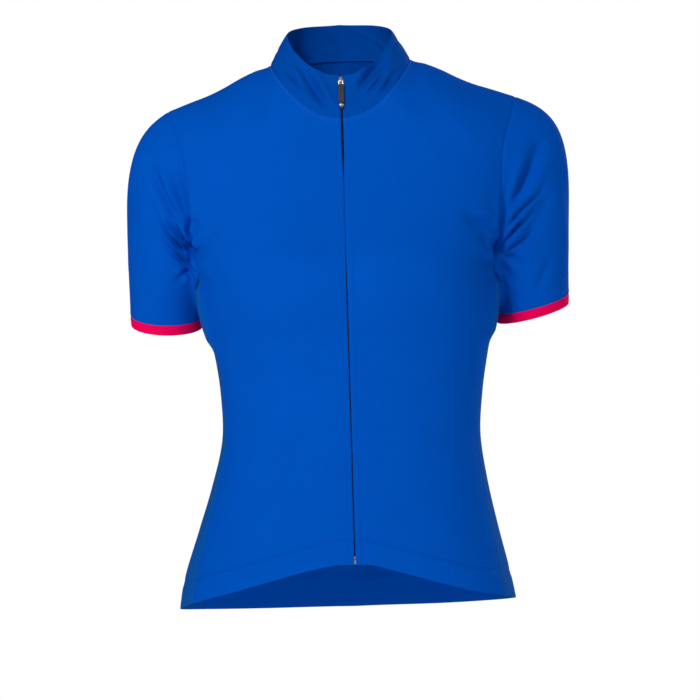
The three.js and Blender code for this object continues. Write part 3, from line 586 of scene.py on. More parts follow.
class Panel:
    """One piece of cloth: points in rows and columns, outward normals, and distances from its edges."""

    def __init__(self, name, p, seams, thick=KNIT, loop=False, flipped=False):
        self.name, self.thick, self.loop, self.seams = name, thick, loop, seams
        self.hemmed = name.split("_")[0] in ("front", "back", "side")
        self.p = p[:, ::-1].copy() if flipped else p
        self.n = self.normals()
        if loop:
            span = np.concatenate([self.p, self.p[:, :1]], 1)
            self.u = reach_from(span, 1)
        else:
            self.u = reach_from(self.p, 1)
        self.v = reach_from(self.p, 0)
        self.edges = {
            "first": reach_from(self.p, 0),
            "last": reach_from(self.p, 0, True),
        }
        if not loop:
            self.edges["start"] = reach_from(self.p, 1)
            self.edges["end"] = reach_from(self.p, 1, True)

    def normals(self):
        p = self.p
        if self.loop:
            across = np.roll(p, -1, 1) - np.roll(p, 1, 1)
        else:
            across = np.gradient(p, axis=1)
        return unit(np.cross(across, np.gradient(p, axis=0)))

    def faces(self):
        """The outer and inner grids, with folds, creases and edges."""
        outer = self.p + self.n * relief(self)[..., None]
        thick = np.full(self.p.shape[:2], float(self.thick))
        for edge, away in self.edges.items():
            if edge in self.seams:
                i, j = self.edge_cells(edge)
                step = {"first": (1, 0), "last": (-1, 0), "start": (0, 1), "end": (0, -1)}[edge]
                way = unit(outer[i + step[0], j + step[1]] - outer[i, j])
                outer[i, j] += way * SEAM_GAP
            else:
                round_off = np.exp(-((away / EDGE_ROUNDING) ** 2))
                outer -= self.n * (0.3 * self.thick * round_off)[..., None]
                thick *= 1 - 0.6 * round_off
            if self.hemmed and edge == "first":
                thick += HEM_EXTRA * np.clip((HEM_TURN - away) / 1.5 + 0.5, 0, 1)
        if self.name.startswith("front") or self.name == "collar":
            near = (np.abs(outer[..., 0]) < ZIP_REACH) & (outer[..., 1] < 0)
            if self.name == "collar":
                sign = np.where(np.arange(outer.shape[1]) < outer.shape[1] / 2, 1, -1)[None, :]
            else:
                sign = 1 if self.name.endswith("left") else -1
            half = opening(outer[..., 2])
            x = np.abs(outer[..., 0])
            parted = sign * (half + x * (1 - half / ZIP_REACH))
            outer[..., 0] = np.where(near, parted, outer[..., 0])
        return outer, outer - self.n * thick[..., None]

    def edge_cells(self, edge):
        rows, columns = self.p.shape[:2]
        if edge in ("first", "last"):
            i = np.full(columns, 0 if edge == "first" else rows - 1)
            return i, np.arange(columns)
        j = np.full(rows, 0 if edge == "start" else columns - 1)
        return np.arange(rows), j


SEAM_NEAR = 2.2  # how close a neighbour's edge is where two pieces meet


def share_normals(panels):
    """Turns the normals beside each seam to the mean of the pieces that meet there."""
    where, normal, owner = [], [], []
    for k, panel in enumerate(panels):
        for edge in panel.edges:
            i, j = panel.edge_cells(edge)
            where.append(panel.p[i, j])
            normal.append(panel.n[i, j])
            owner.append(np.full(len(i), k))
    where, normal, owner = np.concatenate(where), np.concatenate(normal), np.concatenate(owner)
    tree = KDTree(len(where))
    for i, point in enumerate(where):
        tree.insert(point, i)
    tree.balance()
    for k, panel in enumerate(panels):
        total = np.zeros_like(panel.p)
        weight = np.zeros(panel.p.shape[:2])
        for edge, away in panel.edges.items():
            i, j = panel.edge_cells(edge)
            turn = np.zeros((len(i), 3))
            for m, point in enumerate(panel.p[i, j]):
                near = [n for _, n, d in tree.find_range(point, SEAM_NEAR) if owner[n] != k]
                if near:
                    own = panel.n[i[m], j[m]]
                    others = {owner[n] for n in near}
                    means = [unit(normal[[n for n in near if owner[n] == o]].sum(0)) for o in others]
                    turn[m] = unit(own + sum(means)) - own
            fade = np.exp(-((away / NORMAL_REACH) ** 2))
            field = turn[None, :, :] if edge in ("first", "last") else turn[:, None, :]
            total += fade[..., None] * field
            weight += fade
        panel.n = unit(panel.n + total / np.maximum(weight, 1)[..., None])


COLLAR_HEIGHT = 44  # of the strip, where it is laid out flat


def collar_relief(panel):
    """The collar's creases, laid out by angle round the neck and height."""
    share = panel.v / panel.v[-1]
    flat = np.stack([panel.u, share * COLLAR_HEIGHT], -1)
    out = np.zeros(share.shape)
    for a0, v0, a1, v1, width, height in zip(*collar_creases.values()):
        ends = [
            np.array([np.interp(a, panel.angles, panel.u[0]), COLLAR_HEIGHT * v])
            for a, v in ((a0, v0), (a1, v1))
        ]
        away, t = segment_distance(flat, *ends)
        swell = np.sqrt(np.clip(np.sin(pi * (0.08 + 0.84 * t)), 0, 1))
        out += height * swell * np.exp(-((away / width) ** 2))
    return out


def relief(panel):
    """How far a panel's outer face is moved out by folds, creases and seams."""
    out = stand_out(panel.p) + crease(panel.p, panel.n)
    if panel.name == "collar":
        out = out + collar_relief(panel)
    for edge in panel.seams:
        away = panel.edges[edge]
        dip = NECK_SEAM_DIP if panel.name == "collar" and edge == "first" else SEAM_DIP
        allowance = 0.22 * np.exp(-(((away - 4) / 2.6) ** 2))  # the layers turned under beside it
        out = out - dip * np.exp(-((away / 0.8) ** 2)) + allowance
    if panel.hemmed:
        height = panel.edges["first"]
        turned = 0.25 * np.clip((HEM_TURN - height) / 2 + 0.5, 0, 1)
        stitched = 0.3 * np.exp(-(((height - HEM_TURN) / 1.3) ** 2))
        pulled = 0.5 * np.exp(-(((height - HEM_TURN - 4.5) / 4.5) ** 2))
        out = out + turned - stitched - pulled
    return out


# ---- Blender helpers ----


def linear(code, alpha=1.0):
    """An sRGB hex colour as linear values."""
    parts = [int(code[i : i + 2], 16) / 255 for i in (0, 2, 4)]
    return tuple(c / 12.92 if c <= 0.04045 else ((c + 0.055) / 1.055) ** 2.4 for c in parts) + (alpha,)


def add(tree, kind, inputs=None, **settings):
    """Adds a node, sets its properties, and gives each input a value or a link."""
    node = tree.nodes.new(kind)
    for key, value in settings.items():
        setattr(node, key, value)
    for key, value in (inputs or {}).items():
        socket = node.inputs[key]
        if isinstance(value, bpy.types.NodeSocket):
            tree.links.new(value, socket)
        else:
            socket.default_value = value
    return node


def new_object(name, mesh):
    piece = bpy.data.objects.new(name, mesh)
    bpy.context.scene.collection.objects.link(piece)
    return piece


def cloth_mesh(panel, outer, inner):
    """A closed thin shell between an outer and an inner grid, with its cut's map."""
    rows, columns = outer.shape[:2]
    spans = columns if panel.loop else columns - 1
    verts = np.concatenate([outer.reshape(-1, 3), inner.reshape(-1, 3)]) * MM
    i, j = np.meshgrid(np.arange(rows - 1), np.arange(spans), indexing="ij")
    i, j = i.ravel(), j.ravel()
    k = (j + 1) % columns
    half = rows * columns
    a, b, c, d = i * columns + j, i * columns + k, (i + 1) * columns + k, (i + 1) * columns + j
    ua, ub = panel.u[i, j], panel.u[i, j + 1]
    uc, ud = panel.u[i + 1, j + 1], panel.u[i + 1, j]
    va, vb, vc, vd = panel.v[i, j], panel.v[i, k], panel.v[i + 1, k], panel.v[i + 1, j]
    quads = [np.stack([a, b, c, d], 1), np.stack([a + half, d + half, c + half, b + half], 1)]
    maps = [np.stack([ua, va, ub, vb, uc, vc, ud, vd], 1), np.stack([ua, va, ud, vd, uc, vc, ub, vb], 1)]

    def rim(p, q, up, vp, uq, vq):
        quads.append(np.stack([p, p + half, q + half, q], 1))
        maps.append(np.stack([up, vp, up, vp, uq, vq, uq, vq], 1))

    j = np.arange(spans)
    k = (j + 1) % columns
    low, high = j, (rows - 1) * columns + k
    rim(low, k, panel.u[0, j], panel.v[0, j], panel.u[0, j + 1], panel.v[0, k])
    rim(high, (rows - 1) * columns + j, panel.u[-1, j + 1], panel.v[-1, k], panel.u[-1, j], panel.v[-1, j])
    if not panel.loop:
        i = np.arange(rows - 1)
        left, right = i * columns, (i + 1) * columns - 1
        rim(left + columns, left, panel.u[i + 1, 0], panel.v[i + 1, 0], panel.u[i, 0], panel.v[i, 0])
        rim(right, right + columns, panel.u[i, -1], panel.v[i, -1], panel.u[i + 1, -1], panel.v[i + 1, -1])
    faces = np.concatenate(quads)
    mesh = bpy.data.meshes.new(panel.name)
    mesh.from_pydata(verts.tolist(), [], faces.tolist())
    layer = mesh.uv_layers.new(name="cut")
    layer.data.foreach_set("uv", (np.concatenate(maps) / CUT_UNIT).ravel())
    mesh.shade_smooth()
    mesh.set_sharp_from_angle(angle=radians(70))
    return mesh


def make_cloth(panel, material):
    outer, inner = panel.faces()
    panel.outer = outer
    mesh = cloth_mesh(panel, outer, inner)
    piece = new_object(panel.name + "_cloth", mesh)
    mesh.materials.append(material)
    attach(piece, "garment")
    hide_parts(panel.name)
    return piece


# ---- Materials ----


def new_material(name):
    material = bpy.data.materials.new(name)
    material.use_nodes = True
    tree = material.node_tree
    tree.nodes.clear()
    return material, tree


LOOP_HEIGHT = 0.2  # how far a loop stands up, in mm
EYELET_PAINTED_SHADE = "003a86"  # painted shade for the inside that shows through a mesh's holes


def knit_material(
    name, deep, bright, wale, course, strength, bloom="0050e0", eyelet=None, rib=None
):
    """A filament polyester knit: rows of small V loops, little shine and a soft bloom at its edges.
    Its colour is painted deeper between the loops and brighter on them, as painted shade, and varies at
    random.

    wale and course are the loops' width and height in mm, eyelet the pitch of a mesh's holes, which are
    painted deeper as painted shade, and rib that of raised ribs along a band. The zip's tape takes it as
    well, as its weave is as fine.
    """
    material, tree = new_material(name)
    cut = add(tree, "ShaderNodeUVMap", uv_map="cut")
    count = (CUT_UNIT / wale, CUT_UNIT / course, 0)
    loops = add(tree, "ShaderNodeVectorMath", {0: cut.outputs[0], 1: count}, operation="MULTIPLY")
    xyz = add(tree, "ShaderNodeSeparateXYZ", {0: loops.outputs[0]})
    across = add(tree, "ShaderNodeMath", {0: xyz.outputs[0], 1: 1.0}, operation="PINGPONG")
    lifted = add(tree, "ShaderNodeMath", {0: across.outputs[0], 1: 0.55, 2: xyz.outputs[1]},
                 operation="MULTIPLY_ADD")
    along = add(tree, "ShaderNodeMath", {0: lifted.outputs[0], 1: 0.5}, operation="PINGPONG")
    loop = add(tree, "ShaderNodeMath", {0: along.outputs[0], 1: 2.0}, operation="MULTIPLY")
    raised = add(tree, "ShaderNodeMath", {0: loop.outputs[0], 1: 0.7}, operation="POWER")
    dye = add(tree, "ShaderNodeTexNoise", {"Vector": cut.outputs[0], "Scale": 2.5, "Detail": 3.0})
    dye_and_loop_shade = add(tree, "ShaderNodeMapRange", {0: dye.outputs[0], 1: 0.3, 2: 0.7, 3: 0.3, 4: 0.42})
    # the raised loops are painted brighter and the gaps between them deeper, as painted shade, added to the
    # dye's random tone
    dye_and_loop_shade = add(tree, "ShaderNodeMath", {0: raised.outputs[0], 1: 0.3, 2: dye_and_loop_shade.outputs[0]},
               operation="MULTIPLY_ADD")
    colour = add(tree, "ShaderNodeMix", {0: dye_and_loop_shade.outputs[0], 6: linear(deep), 7: linear(bright)},
                 data_type="RGBA")
    tint, height = colour.outputs[2], raised.outputs[0]
    if eyelet:
        grid = add(tree, "ShaderNodeMapping", {
            "Vector": cut.outputs[0], "Rotation": (0, 0, radians(45)),
            "Scale": (CUT_UNIT / eyelet, CUT_UNIT / eyelet, 1)})
        spot = add(tree, "ShaderNodeTexVoronoi", {"Vector": grid.outputs[0], "Scale": 1.0, "Randomness": 0.0},
                   voronoi_dimensions="2D")
        hole = add(tree, "ShaderNodeMapRange", {0: spot.outputs["Distance"], 1: 0.2, 2: 0.34, 3: 1.0, 4: 0.0})
        # the holes are painted deep blue as painted shade, for the inside seen through them
        dark = add(tree, "ShaderNodeMix", {0: hole.outputs[0], 6: tint, 7: linear(EYELET_PAINTED_SHADE)},
                   data_type="RGBA")
        sunk = add(tree, "ShaderNodeMath", {0: hole.outputs[0], 1: -2.0, 2: height},
                   operation="MULTIPLY_ADD")
        tint, height = dark.outputs[2], sunk.outputs[0]
    if rib:
        row = add(tree, "ShaderNodeMath", {0: xyz.outputs[1], 1: course / rib * 2 * pi}, operation="MULTIPLY")
        wave = add(tree, "ShaderNodeMath", {0: row.outputs[0]}, operation="SINE")
        ribbed = add(tree, "ShaderNodeMath", {0: wave.outputs[0], 1: 0.8, 2: height},
                     operation="MULTIPLY_ADD")
        height = ribbed.outputs[0]
    bump = add(tree, "ShaderNodeBump", {"Height": height, "Strength": strength, "Distance": LOOP_HEIGHT * MM})
    shader = add(
        tree, "ShaderNodeBsdfPrincipled",
        {"Base Color": tint, "Roughness": 0.7, "IOR": 1.2, "Specular IOR Level": 0.02,
         "Normal": bump.outputs[0], "Sheen Weight": 0.1, "Sheen Roughness": 0.4,
         "Sheen Tint": linear(bloom)},
    )
    add(tree, "ShaderNodeOutputMaterial", {"Surface": shader.outputs[0]})
    return material


def tumbled(tree, place):
    """The faint orange peel that plating keeps from a casting tumbled smooth, 0.5 mm across."""
    return add(tree, "ShaderNodeTexNoise", {"Vector": place, "Scale": 2000.0, "Detail": 3.0}).outputs[0]


def pebbled(tree, place):
    """Rows of small raised squares 0.9 mm apart, as a mould leaves on a grip."""
    size = {"Vector": place, "Scale": 0.314 / 0.0009}
    rows = [
        add(tree, "ShaderNodeTexWave", size, bands_direction=way).outputs["Fac"] for way in ("X", "Z")
    ]
    return add(tree, "ShaderNodeMath", {0: rows[0], 1: rows[1]}, operation="MULTIPLY").outputs[0]


def twisted(tree, place):
    """The plies of a sewing thread or the turns of a nylon coil, 0.4 mm apart."""
    return add(
        tree, "ShaderNodeTexWave", {"Vector": place, "Scale": 0.628 / 0.0004, "Distortion": 1.0},
        bands_direction="DIAGONAL",
    ).outputs["Fac"]


def hard_material(name, low, high, pattern, depth, roughness, metallic=0.0, specular=0.5):
    """A finish whose pattern is low in its hollows and high on its raised parts, depth mm deep. Its colour
    runs from low in the hollows to high on the raised parts, more so where a noise is high: painted shade and
    painted highlight.
    """
    material, tree = new_material(name)
    place = add(tree, "ShaderNodeTexCoord").outputs["Object"]
    height = pattern(tree, place)
    wear_and_shade_noise = add(tree, "ShaderNodeTexNoise", {"Vector": place, "Scale": 500.0, "Detail": 4.0})
    # the pattern's hollows take the low colour and its raised parts the high one, as painted shade and
    # painted highlight, scattered by a noise that also varies the roughness
    shade_in_hollows = add(tree, "ShaderNodeMath", {0: height, 1: wear_and_shade_noise.outputs[0]}, operation="MULTIPLY")
    painted_shade = add(tree, "ShaderNodeMapRange", {0: shade_in_hollows.outputs[0], 1: 0.1, 2: 0.55})
    colour = add(tree, "ShaderNodeMix", {0: painted_shade.outputs[0], 6: linear(low), 7: linear(high)},
                 data_type="RGBA")
    rough = add(tree, "ShaderNodeMapRange", {
        0: wear_and_shade_noise.outputs[0], 1: 0.3, 2: 0.7, 3: roughness + 0.08, 4: roughness - 0.08})
    bump = add(tree, "ShaderNodeBump", {"Height": height, "Strength": 1.0, "Distance": depth * MM})
    shader = add(
        tree, "ShaderNodeBsdfPrincipled",
        {"Base Color": colour.outputs[2], "Roughness": rough.outputs[0], "Metallic": metallic,
         "Specular IOR Level": specular, "Normal": bump.outputs[0]},
    )
    add(tree, "ShaderNodeOutputMaterial", {"Surface": shader.outputs[0]})
    return material


# The body's smooth interlock knit of bright polyester: the eye sees an even, saturated blue with a
# soft roll of light. Its loops, 0.45 mm in the real cloth, are drawn twice as coarse to show.
jersey_knit = knit_material("interlock_polyester", "004ab0", "0058c6", 0.9, 0.8, 0.35)
# The side panels' warp-knitted mesh: greyer, as the painted shade in its eyelets mixes in. The eyelets,
# 1.5 mm apart in the real mesh, are drawn 2.8 mm apart to show.
mesh_knit = knit_material("eyelet_mesh_polyester", "0850a4", "1164be", 1.4, 1.4, 0.5, eyelet=2.8)
# The collar's doubled knit lies flatter; its blue is the body's, painted a little deeper as painted shade.
collar_knit_painted_shade = knit_material("doubled_polyester", "00429e", "004fb2", 0.9, 0.8, 0.35)
# The cuffs' woven elastic: fine ribs round the arm and a bright red-pink.
cuff_band = knit_material("ribbed_elastic", "ea004c", "fa0860", 1.4, 0.9, 0.5, "ff2050", rib=1.8)
# The zip's tape, a tight navy weave that looks almost black beside the blue.
tape_weave = knit_material("woven_polyester_tape", "0a1638", "14244e", 0.6, 0.6, 0.5)
# Nylon filament of the coil: dark and slightly glossy, with a painted highlight on the crown of each turn and
# painted shade between the turns.
coil_nylon = hard_material("nylon_monofilament", "060a16", "101a3a", twisted, 0.03, 0.4)
# Zinc with a pinkish nickel plating, tumbled before plating: bright, with softened edges, and painted
# shade in the hollows of its faint peel.
plated_metal = hard_material("nickel_plated_zinc", "b8a59f", "e2d3cc", tumbled, 0.01, 0.26, 1.0)
# The grip's moulded rubber: matt dark grey, painted lighter on its small raised squares and darker between
# them, as painted highlight and painted shade.
moulded_rubber = hard_material("moulded_rubber", "17191c", "3c4046", pebbled, 0.12, 0.6)
# The smooth black edge and tip of the same moulding.
tip_rubber = hard_material("smooth_moulded_rubber", "08090a", "141517", tumbled, 0.01, 0.42)
# Spun polyester thread, a shade brighter than the cloth at the collar and a shade deeper elsewhere.
blue_thread = hard_material("bright_polyester_thread", "1460c8", "3a80ea", twisted, 0.04, 0.6, specular=0.05)
deep_thread = hard_material("deep_polyester_thread", "0046a6", "0852bc", twisted, 0.04, 0.6, specular=0.05)

# ---- The panels ----

# The torso's rows run from -1 at the hem through 0 at the underarm to 1 at the top.
lower = stations(96, 330, "", HEM_STITCHES) - 1
upper = stations(64, 190, "b")
up_rows = np.unique(np.concatenate([lower, upper]))[:, None]


def front_panel(side):
    sign = SIGNS[side]
    across = stations(72, 165, "ab")
    p = half_point(sign, -1, across[None, :], up_rows)
    return Panel("front_" + side, p, ("start", "end", "last"), flipped=sign < 0)


def back_panel():
    across = stations(72, 165, "b")
    left = half_point(1, 1, across[None, :], up_rows)
    right = half_point(-1, 1, across[None, :], up_rows)
    return Panel("back", np.concatenate([left[:, ::-1], right[:, 1:]], 1), ("start", "end", "last"))


def side_panel(side):
    across = stations(30, 80, "ab")
    rows = np.unique(np.concatenate([lower, stations(96, 330, "b") - 1]))[:, None]
    p = side_point(SIGNS[side], across[None, :], rows)
    return Panel("side_" + side, p, ("start", "end", "last"), flipped=SIGNS[side] < 0)


def sleeve_ring(name, side, rows, seams, thick):
    around = np.linspace(0, 3, 181)[:-1]
    p = sleeve_point(SIGNS[side], around[None, :], rows[:, None])
    return Panel(name + side, p, seams, thick, loop=True, flipped=SIGNS[side] < 0)


def sleeve_panel(side):
    return sleeve_ring("sleeve_", side, stations(84, 170, "ab"), ("first", "last"), KNIT)


def cuff_panel(side):
    return sleeve_ring("cuff_", side, 1 + stations(9, CUFF_HEIGHT, "a"), ("first",), CUFF_THICK)


def collar_panel():
    around = np.unique(np.round(stations(240, 430, "ab") * 360, 6))
    rows = stations(26, COLLAR_HEIGHT, "a")[:, None]
    p = collar_point(around[None, :], rows)
    panel = Panel("collar", p, ("first", "start", "end"), thick=COLLAR_THICK)
    panel.angles = around
    return panel


panels = {"back": back_panel(), "collar": collar_panel()}
for side in SIGNS:
    for make in (front_panel, side_panel, sleeve_panel, cuff_panel):
        panel = make(side)
        panels[panel.name] = panel
share_normals(list(panels.values()))

# Each kind of panel's cloth, the slot that it takes, and the piece that it hangs on.
FINISHES = {
    "front": (jersey_knit, "jersey_knit", "collar_cloth"),
    "back": (jersey_knit, "jersey_knit", "collar_cloth"),
    "sleeve": (jersey_knit, "jersey_knit", "back_cloth"),
    "collar": (collar_knit_painted_shade, "jersey_knit", "back_cloth"),
    "side": (mesh_knit, "mesh_knit", "back_cloth"),
    "cuff": (cuff_band, "cuff_band", "back_cloth"),
}
for name, panel in panels.items():
    material, slot, hangs_on = FINISHES[name.split("_")[0]]
    make_cloth(panel, material)

# ---- Stitches ----


def stitch_tree():
    """Geometry Nodes: short rounded threads laid end to end along a path, each flat on the cloth."""
    tree = bpy.data.node_groups.new("stitch_row", "GeometryNodeTree")
    sockets = tree.interface
    sockets.new_socket("Path", in_out="INPUT", socket_type="NodeSocketGeometry")
    for label in ("Pitch", "Stitch length", "Thread width", "Thread height", "Turn"):
        sockets.new_socket(label, in_out="INPUT", socket_type="NodeSocketFloat")
    sockets.new_socket("Thread", in_out="INPUT", socket_type="NodeSocketMaterial")
    sockets.new_socket("Stitches", in_out="OUTPUT", socket_type="NodeSocketGeometry")
    given = add(tree, "NodeGroupInput")
    curve = add(tree, "GeometryNodeMeshToCurve", {0: given.outputs["Path"]})
    spots = add(
        tree, "GeometryNodeCurveToPoints",
        {"Curve": curve.outputs[0], "Length": given.outputs["Pitch"]}, mode="LENGTH",
    )
    face = add(tree, "GeometryNodeInputNamedAttribute", {"Name": "out"}, data_type="FLOAT_VECTOR")
    along = add(tree, "FunctionNodeAlignRotationToVector", {"Vector": spots.outputs["Tangent"]}, axis="X")
    flat = add(
        tree, "FunctionNodeAlignRotationToVector",
        {"Rotation": along.outputs[0], "Vector": face.outputs[0]}, axis="Z", pivot_axis="X",
    )
    angle = add(tree, "ShaderNodeCombineXYZ", {2: given.outputs["Turn"]})
    turned = add(tree, "FunctionNodeEulerToRotation", {0: angle.outputs[0]})
    laid = add(tree, "FunctionNodeRotateRotation", {0: flat.outputs[0], 1: turned.outputs[0]},
               rotation_space="LOCAL")
    thread = add(tree, "GeometryNodeMeshUVSphere", {"Segments": 6, "Rings": 5, "Radius": 0.5})
    size = add(
        tree, "ShaderNodeCombineXYZ",
        {0: given.outputs["Stitch length"], 1: given.outputs["Thread width"],
         2: given.outputs["Thread height"]},
    )
    placed = add(
        tree, "GeometryNodeInstanceOnPoints",
        {"Points": spots.outputs["Points"], "Instance": thread.outputs["Mesh"], "Rotation": laid.outputs[0],
         "Scale": size.outputs[0]},
    )
    real = add(tree, "GeometryNodeRealizeInstances", {0: placed.outputs[0]})
    smooth = add(tree, "GeometryNodeSetShadeSmooth", {0: real.outputs[0]})
    dyed = add(tree, "GeometryNodeSetMaterial", {0: smooth.outputs[0], "Material": given.outputs["Thread"]})
    add(tree, "NodeGroupOutput", {"Stitches": dyed.outputs[0]})
    return tree


def sew(name, lines, material, slot, **sizes):
    """Lays stitches along lines of points and outward directions, in millimetres."""
    verts, outs, edges = [], [], []
    for where, out in lines:
        start = len(verts)
        verts += (where * MM).tolist()
        outs += out.tolist()
        edges += [(start + i, start + i + 1) for i in range(len(where) - 1)]
    mesh = bpy.data.meshes.new(name)
    mesh.from_pydata(verts, edges, [])
    mesh.attributes.new("out", "FLOAT_VECTOR", "POINT").data.foreach_set("vector", np.ravel(outs))
    piece = new_object(name, mesh)
    rows = piece.modifiers.new("rows", "NODES")
    rows.node_group = STITCHES
    wanted = {label.replace("_", " ").capitalize(): value for label, value in sizes.items()}
    wanted["Thread"] = material
    for item in STITCHES.interface.items_tree:
        if item.in_out == "INPUT" and item.name in wanted:
            value = wanted[item.name]
            is_size = isinstance(value, float) and item.name != "Turn"
            rows[item.identifier] = value * MM if is_size else value
    ready = piece.evaluated_get(bpy.context.evaluated_depsgraph_get())
    sewn = bpy.data.meshes.new_from_object(ready)
    piece.modifiers.clear()
    piece.data = sewn
    bpy.data.meshes.remove(mesh)
    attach(piece, "garment")
    return piece


def line_at(panel, edge, distance, where=None, lift=0.05):
    """The line that runs beside one edge of a finished panel at a distance from it."""
    outer, away = panel.outer, panel.edges[edge]
    if edge in ("start", "end"):
        outer, away, normal = outer.swapaxes(0, 1), away.T, panel.n.swapaxes(0, 1)
    else:
        normal = panel.n
    if edge in ("last", "end"):
        outer, away, normal = outer[::-1], away[::-1], normal[::-1]
    picked = range(outer.shape[1]) if where is None else np.flatnonzero(where)
    found, facing = [], []
    for j in picked:
        found.append([np.interp(distance, away[:, j], outer[:, j, k]) for k in range(3)])
        facing.append([np.interp(distance, away[:, j], normal[:, j, k]) for k in range(3)])
    found, facing = np.array(found), unit(np.array(facing))
    return found + facing * lift, facing


STITCHES = stitch_tree()
body_panels = ("front_left", "front_right", "back", "side_left", "side_right")
hem_lines = [line_at(panels[name], "first", d) for name in body_panels for d in HEM_STITCHES]
NECK_STITCHES = (3.4, 5.8)  # the rows below the collar, from its seam
CUFF_STITCHES = 2.6  # the row above each cuff
ZIP_STITCHES = 6.5  # the row beside the zip

neck_lines = []
for name in ("front_left", "front_right", "back"):
    top = panels[name].p[-1]
    on_neck = np.abs(top[:, 0]) < NECK_HALF - 0.5
    neck_lines += [line_at(panels[name], "last", d, on_neck) for d in NECK_STITCHES]

cuff_lines = []
for side in SIGNS:
    where, out = line_at(panels["sleeve_" + side], "last", CUFF_STITCHES)
    cuff_lines.append((np.concatenate([where, where[:1]]), np.concatenate([out, out[:1]])))

zip_edges = (("front_left", "start"), ("front_right", "end"), ("collar", "start"), ("collar", "end"))
zip_lines = [line_at(panels[name], edge, ZIP_STITCHES) for name, edge in zip_edges]

for name, lines, thread, pitch, length, width, height in (
    ("hem_coverstitch", hem_lines, deep_thread, 3.0, 2.2, 0.5, 0.4),
    ("collar_coverstitch", neck_lines, blue_thread, 2.6, 1.9, 0.5, 0.4),
    ("sleeve_topstitch", cuff_lines, deep_thread, 2.6, 1.9, 0.5, 0.4),
    ("zip_topstitch", zip_lines, deep_thread, 2.8, 2.1, 0.42, 0.3),
):
    sew(name, lines, thread, "jersey_knit",
        pitch=pitch, stitch_length=length, thread_width=width, thread_height=height, turn=0.0)

# ---- The zip ----

# The tape: from where to where across, how far behind the cloth it lies, and its thickness.
TAPE_FROM, TAPE_TO, TAPE_BEHIND, TAPE_THICK = 0.15, 12, 1.65, 0.6
COIL_BEHIND = 1.15
COIL_START = 14  # rows of points up from the hem, where the coil leaves its box
SEAT_SHARE = 0.88  # the slider's place, as a share of the collar's height
PIVOT_OUT, PIVOT_UP = 2.6, -1.25  # the pull's pin, from the slider's seat


def middle_grid(side, behind):
    """The cloth's surface beside the zip, moved in, from hem to slider: rows of points out to TAPE_TO."""
    x = np.linspace(TAPE_FROM, TAPE_TO, 9)
    rows, normals = [], []
    for name in ("front_" + side, "collar"):
        panel = panels[name]
        p = panel.p + panel.n * stand_out(panel.p)[..., None]
        n = panel.n
        if side == "right":
            p, n = p[:, ::-1], n[:, ::-1]
        reach = 40  # columns, which pass TAPE_TO
        first = 1 if name == "collar" else 0
        for i in range(first, p.shape[0]):
            if name == "collar" and panel.v[i, 0] > SEAT_SHARE * panel.v[-1, 0] - 3:
                break
            away = np.abs(p[i, :reach, 0])
            rows.append([[np.interp(a, away, p[i, :reach, k]) for k in (1, 2)] for a in x])
            normals.append([[np.interp(a, away, n[i, :reach, k]) for k in (1, 2)] for a in x])
    rows, normals = np.array(rows), np.array(normals)
    sign = SIGNS[side]
    xs = np.broadcast_to(sign * x, rows.shape[:2])
    p = np.concatenate([xs[..., None], rows], 2)
    n = unit(np.concatenate([0 * xs[..., None], normals], 2))
    p = p - n * behind
    return (p, n) if sign > 0 else (p[:, ::-1], n[:, ::-1])


for side in SIGNS:
    p, n = middle_grid(side, TAPE_BEHIND)
    tape = Panel("zip_tape_" + side, p, (), TAPE_THICK)
    piece = new_object(tape.name + "_woven", cloth_mesh(tape, p, p - n * TAPE_THICK))
    piece.data.materials.append(tape_weave)
    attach(piece, "garment")
    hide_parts(tape.name)

p, n = middle_grid("left", COIL_BEHIND)
coil_line = (p[COIL_START:, 0] * (0, 1, 1), n[COIL_START:, 0])
sew("zip_coil", [coil_line], coil_nylon, "zip_tape",
    pitch=1.25, stitch_length=0.8, thread_width=3.0, thread_height=0.8, turn=0.12)


def frame_at(origin, up):
    """A frame on the front's middle: x across, y out away from the cloth, z up along the zip."""
    up = unit(up)
    out = np.cross([1, 0, 0], up)

    def place(x, y, z):
        ways = ((x, [1, 0, 0]), (y, out), (z, up))
        return sum((np.multiply.outer(far, way) for far, way in ways), np.asarray(origin))

    return place


seat_up = collar_point(0, 1) - collar_point(0, 0)
slide = frame_at(collar_point(0, SEAT_SHARE), seat_up)


def hang(x, y, z):
    """The pull's own frame, with its pin at 0."""
    return slide(x, y + PIVOT_OUT, z + PIVOT_UP)


foot_points = half_point(1, -1, 0, np.array([-1, -0.93]))
foot = frame_at(foot_points[0], foot_points[1] - foot_points[0])


def into(work, place, make):
    """Adds a shape made in a frame's own coordinates to a mesh in work."""
    part = bmesh.new()
    make(part)
    for vert in part.verts:
        vert.co = Vector(place(*vert.co) * MM)
    part.normal_update()  # the moved faces' own, without which the next line can turn them inwards
    bmesh.ops.recalc_face_normals(part, faces=part.faces)
    mesh = bpy.data.meshes.new("part")
    part.to_mesh(mesh)
    part.free()
    work.from_mesh(mesh)
    bpy.data.meshes.remove(mesh)


def plate(outline, low, high, bevel, segments=3, inset=0, sink=0):
    """A plate with a mirrored outline of (x, z) points, from low to high in y, its edges rounded."""

    def make(part):
        full = outline + [(-x, z) for x, z in reversed(outline) if x > 0]
        front = [part.verts.new((x, high, z)) for x, z in full]
        back = [part.verts.new((x, low, z)) for x, z in full]
        face = part.faces.new(front)
        part.faces.new(back[::-1])
        for i in range(len(full)):
            k = (i + 1) % len(full)
            part.faces.new((front[i], back[i], back[k], front[k]))
        if inset:
            bmesh.ops.recalc_face_normals(part, faces=part.faces)
            bmesh.ops.inset_region(part, faces=[face], thickness=inset, depth=0)
            for vert in face.verts:
                vert.co.y -= sink
        edges = [e for e in part.edges if len(e.link_faces) == 2 and e.calc_face_angle() > 0.5]
        bmesh.ops.bevel(part, geom=edges, offset=bevel, segments=segments, affect="EDGES", profile=0.5,
                        clamp_overlap=True)

    return make


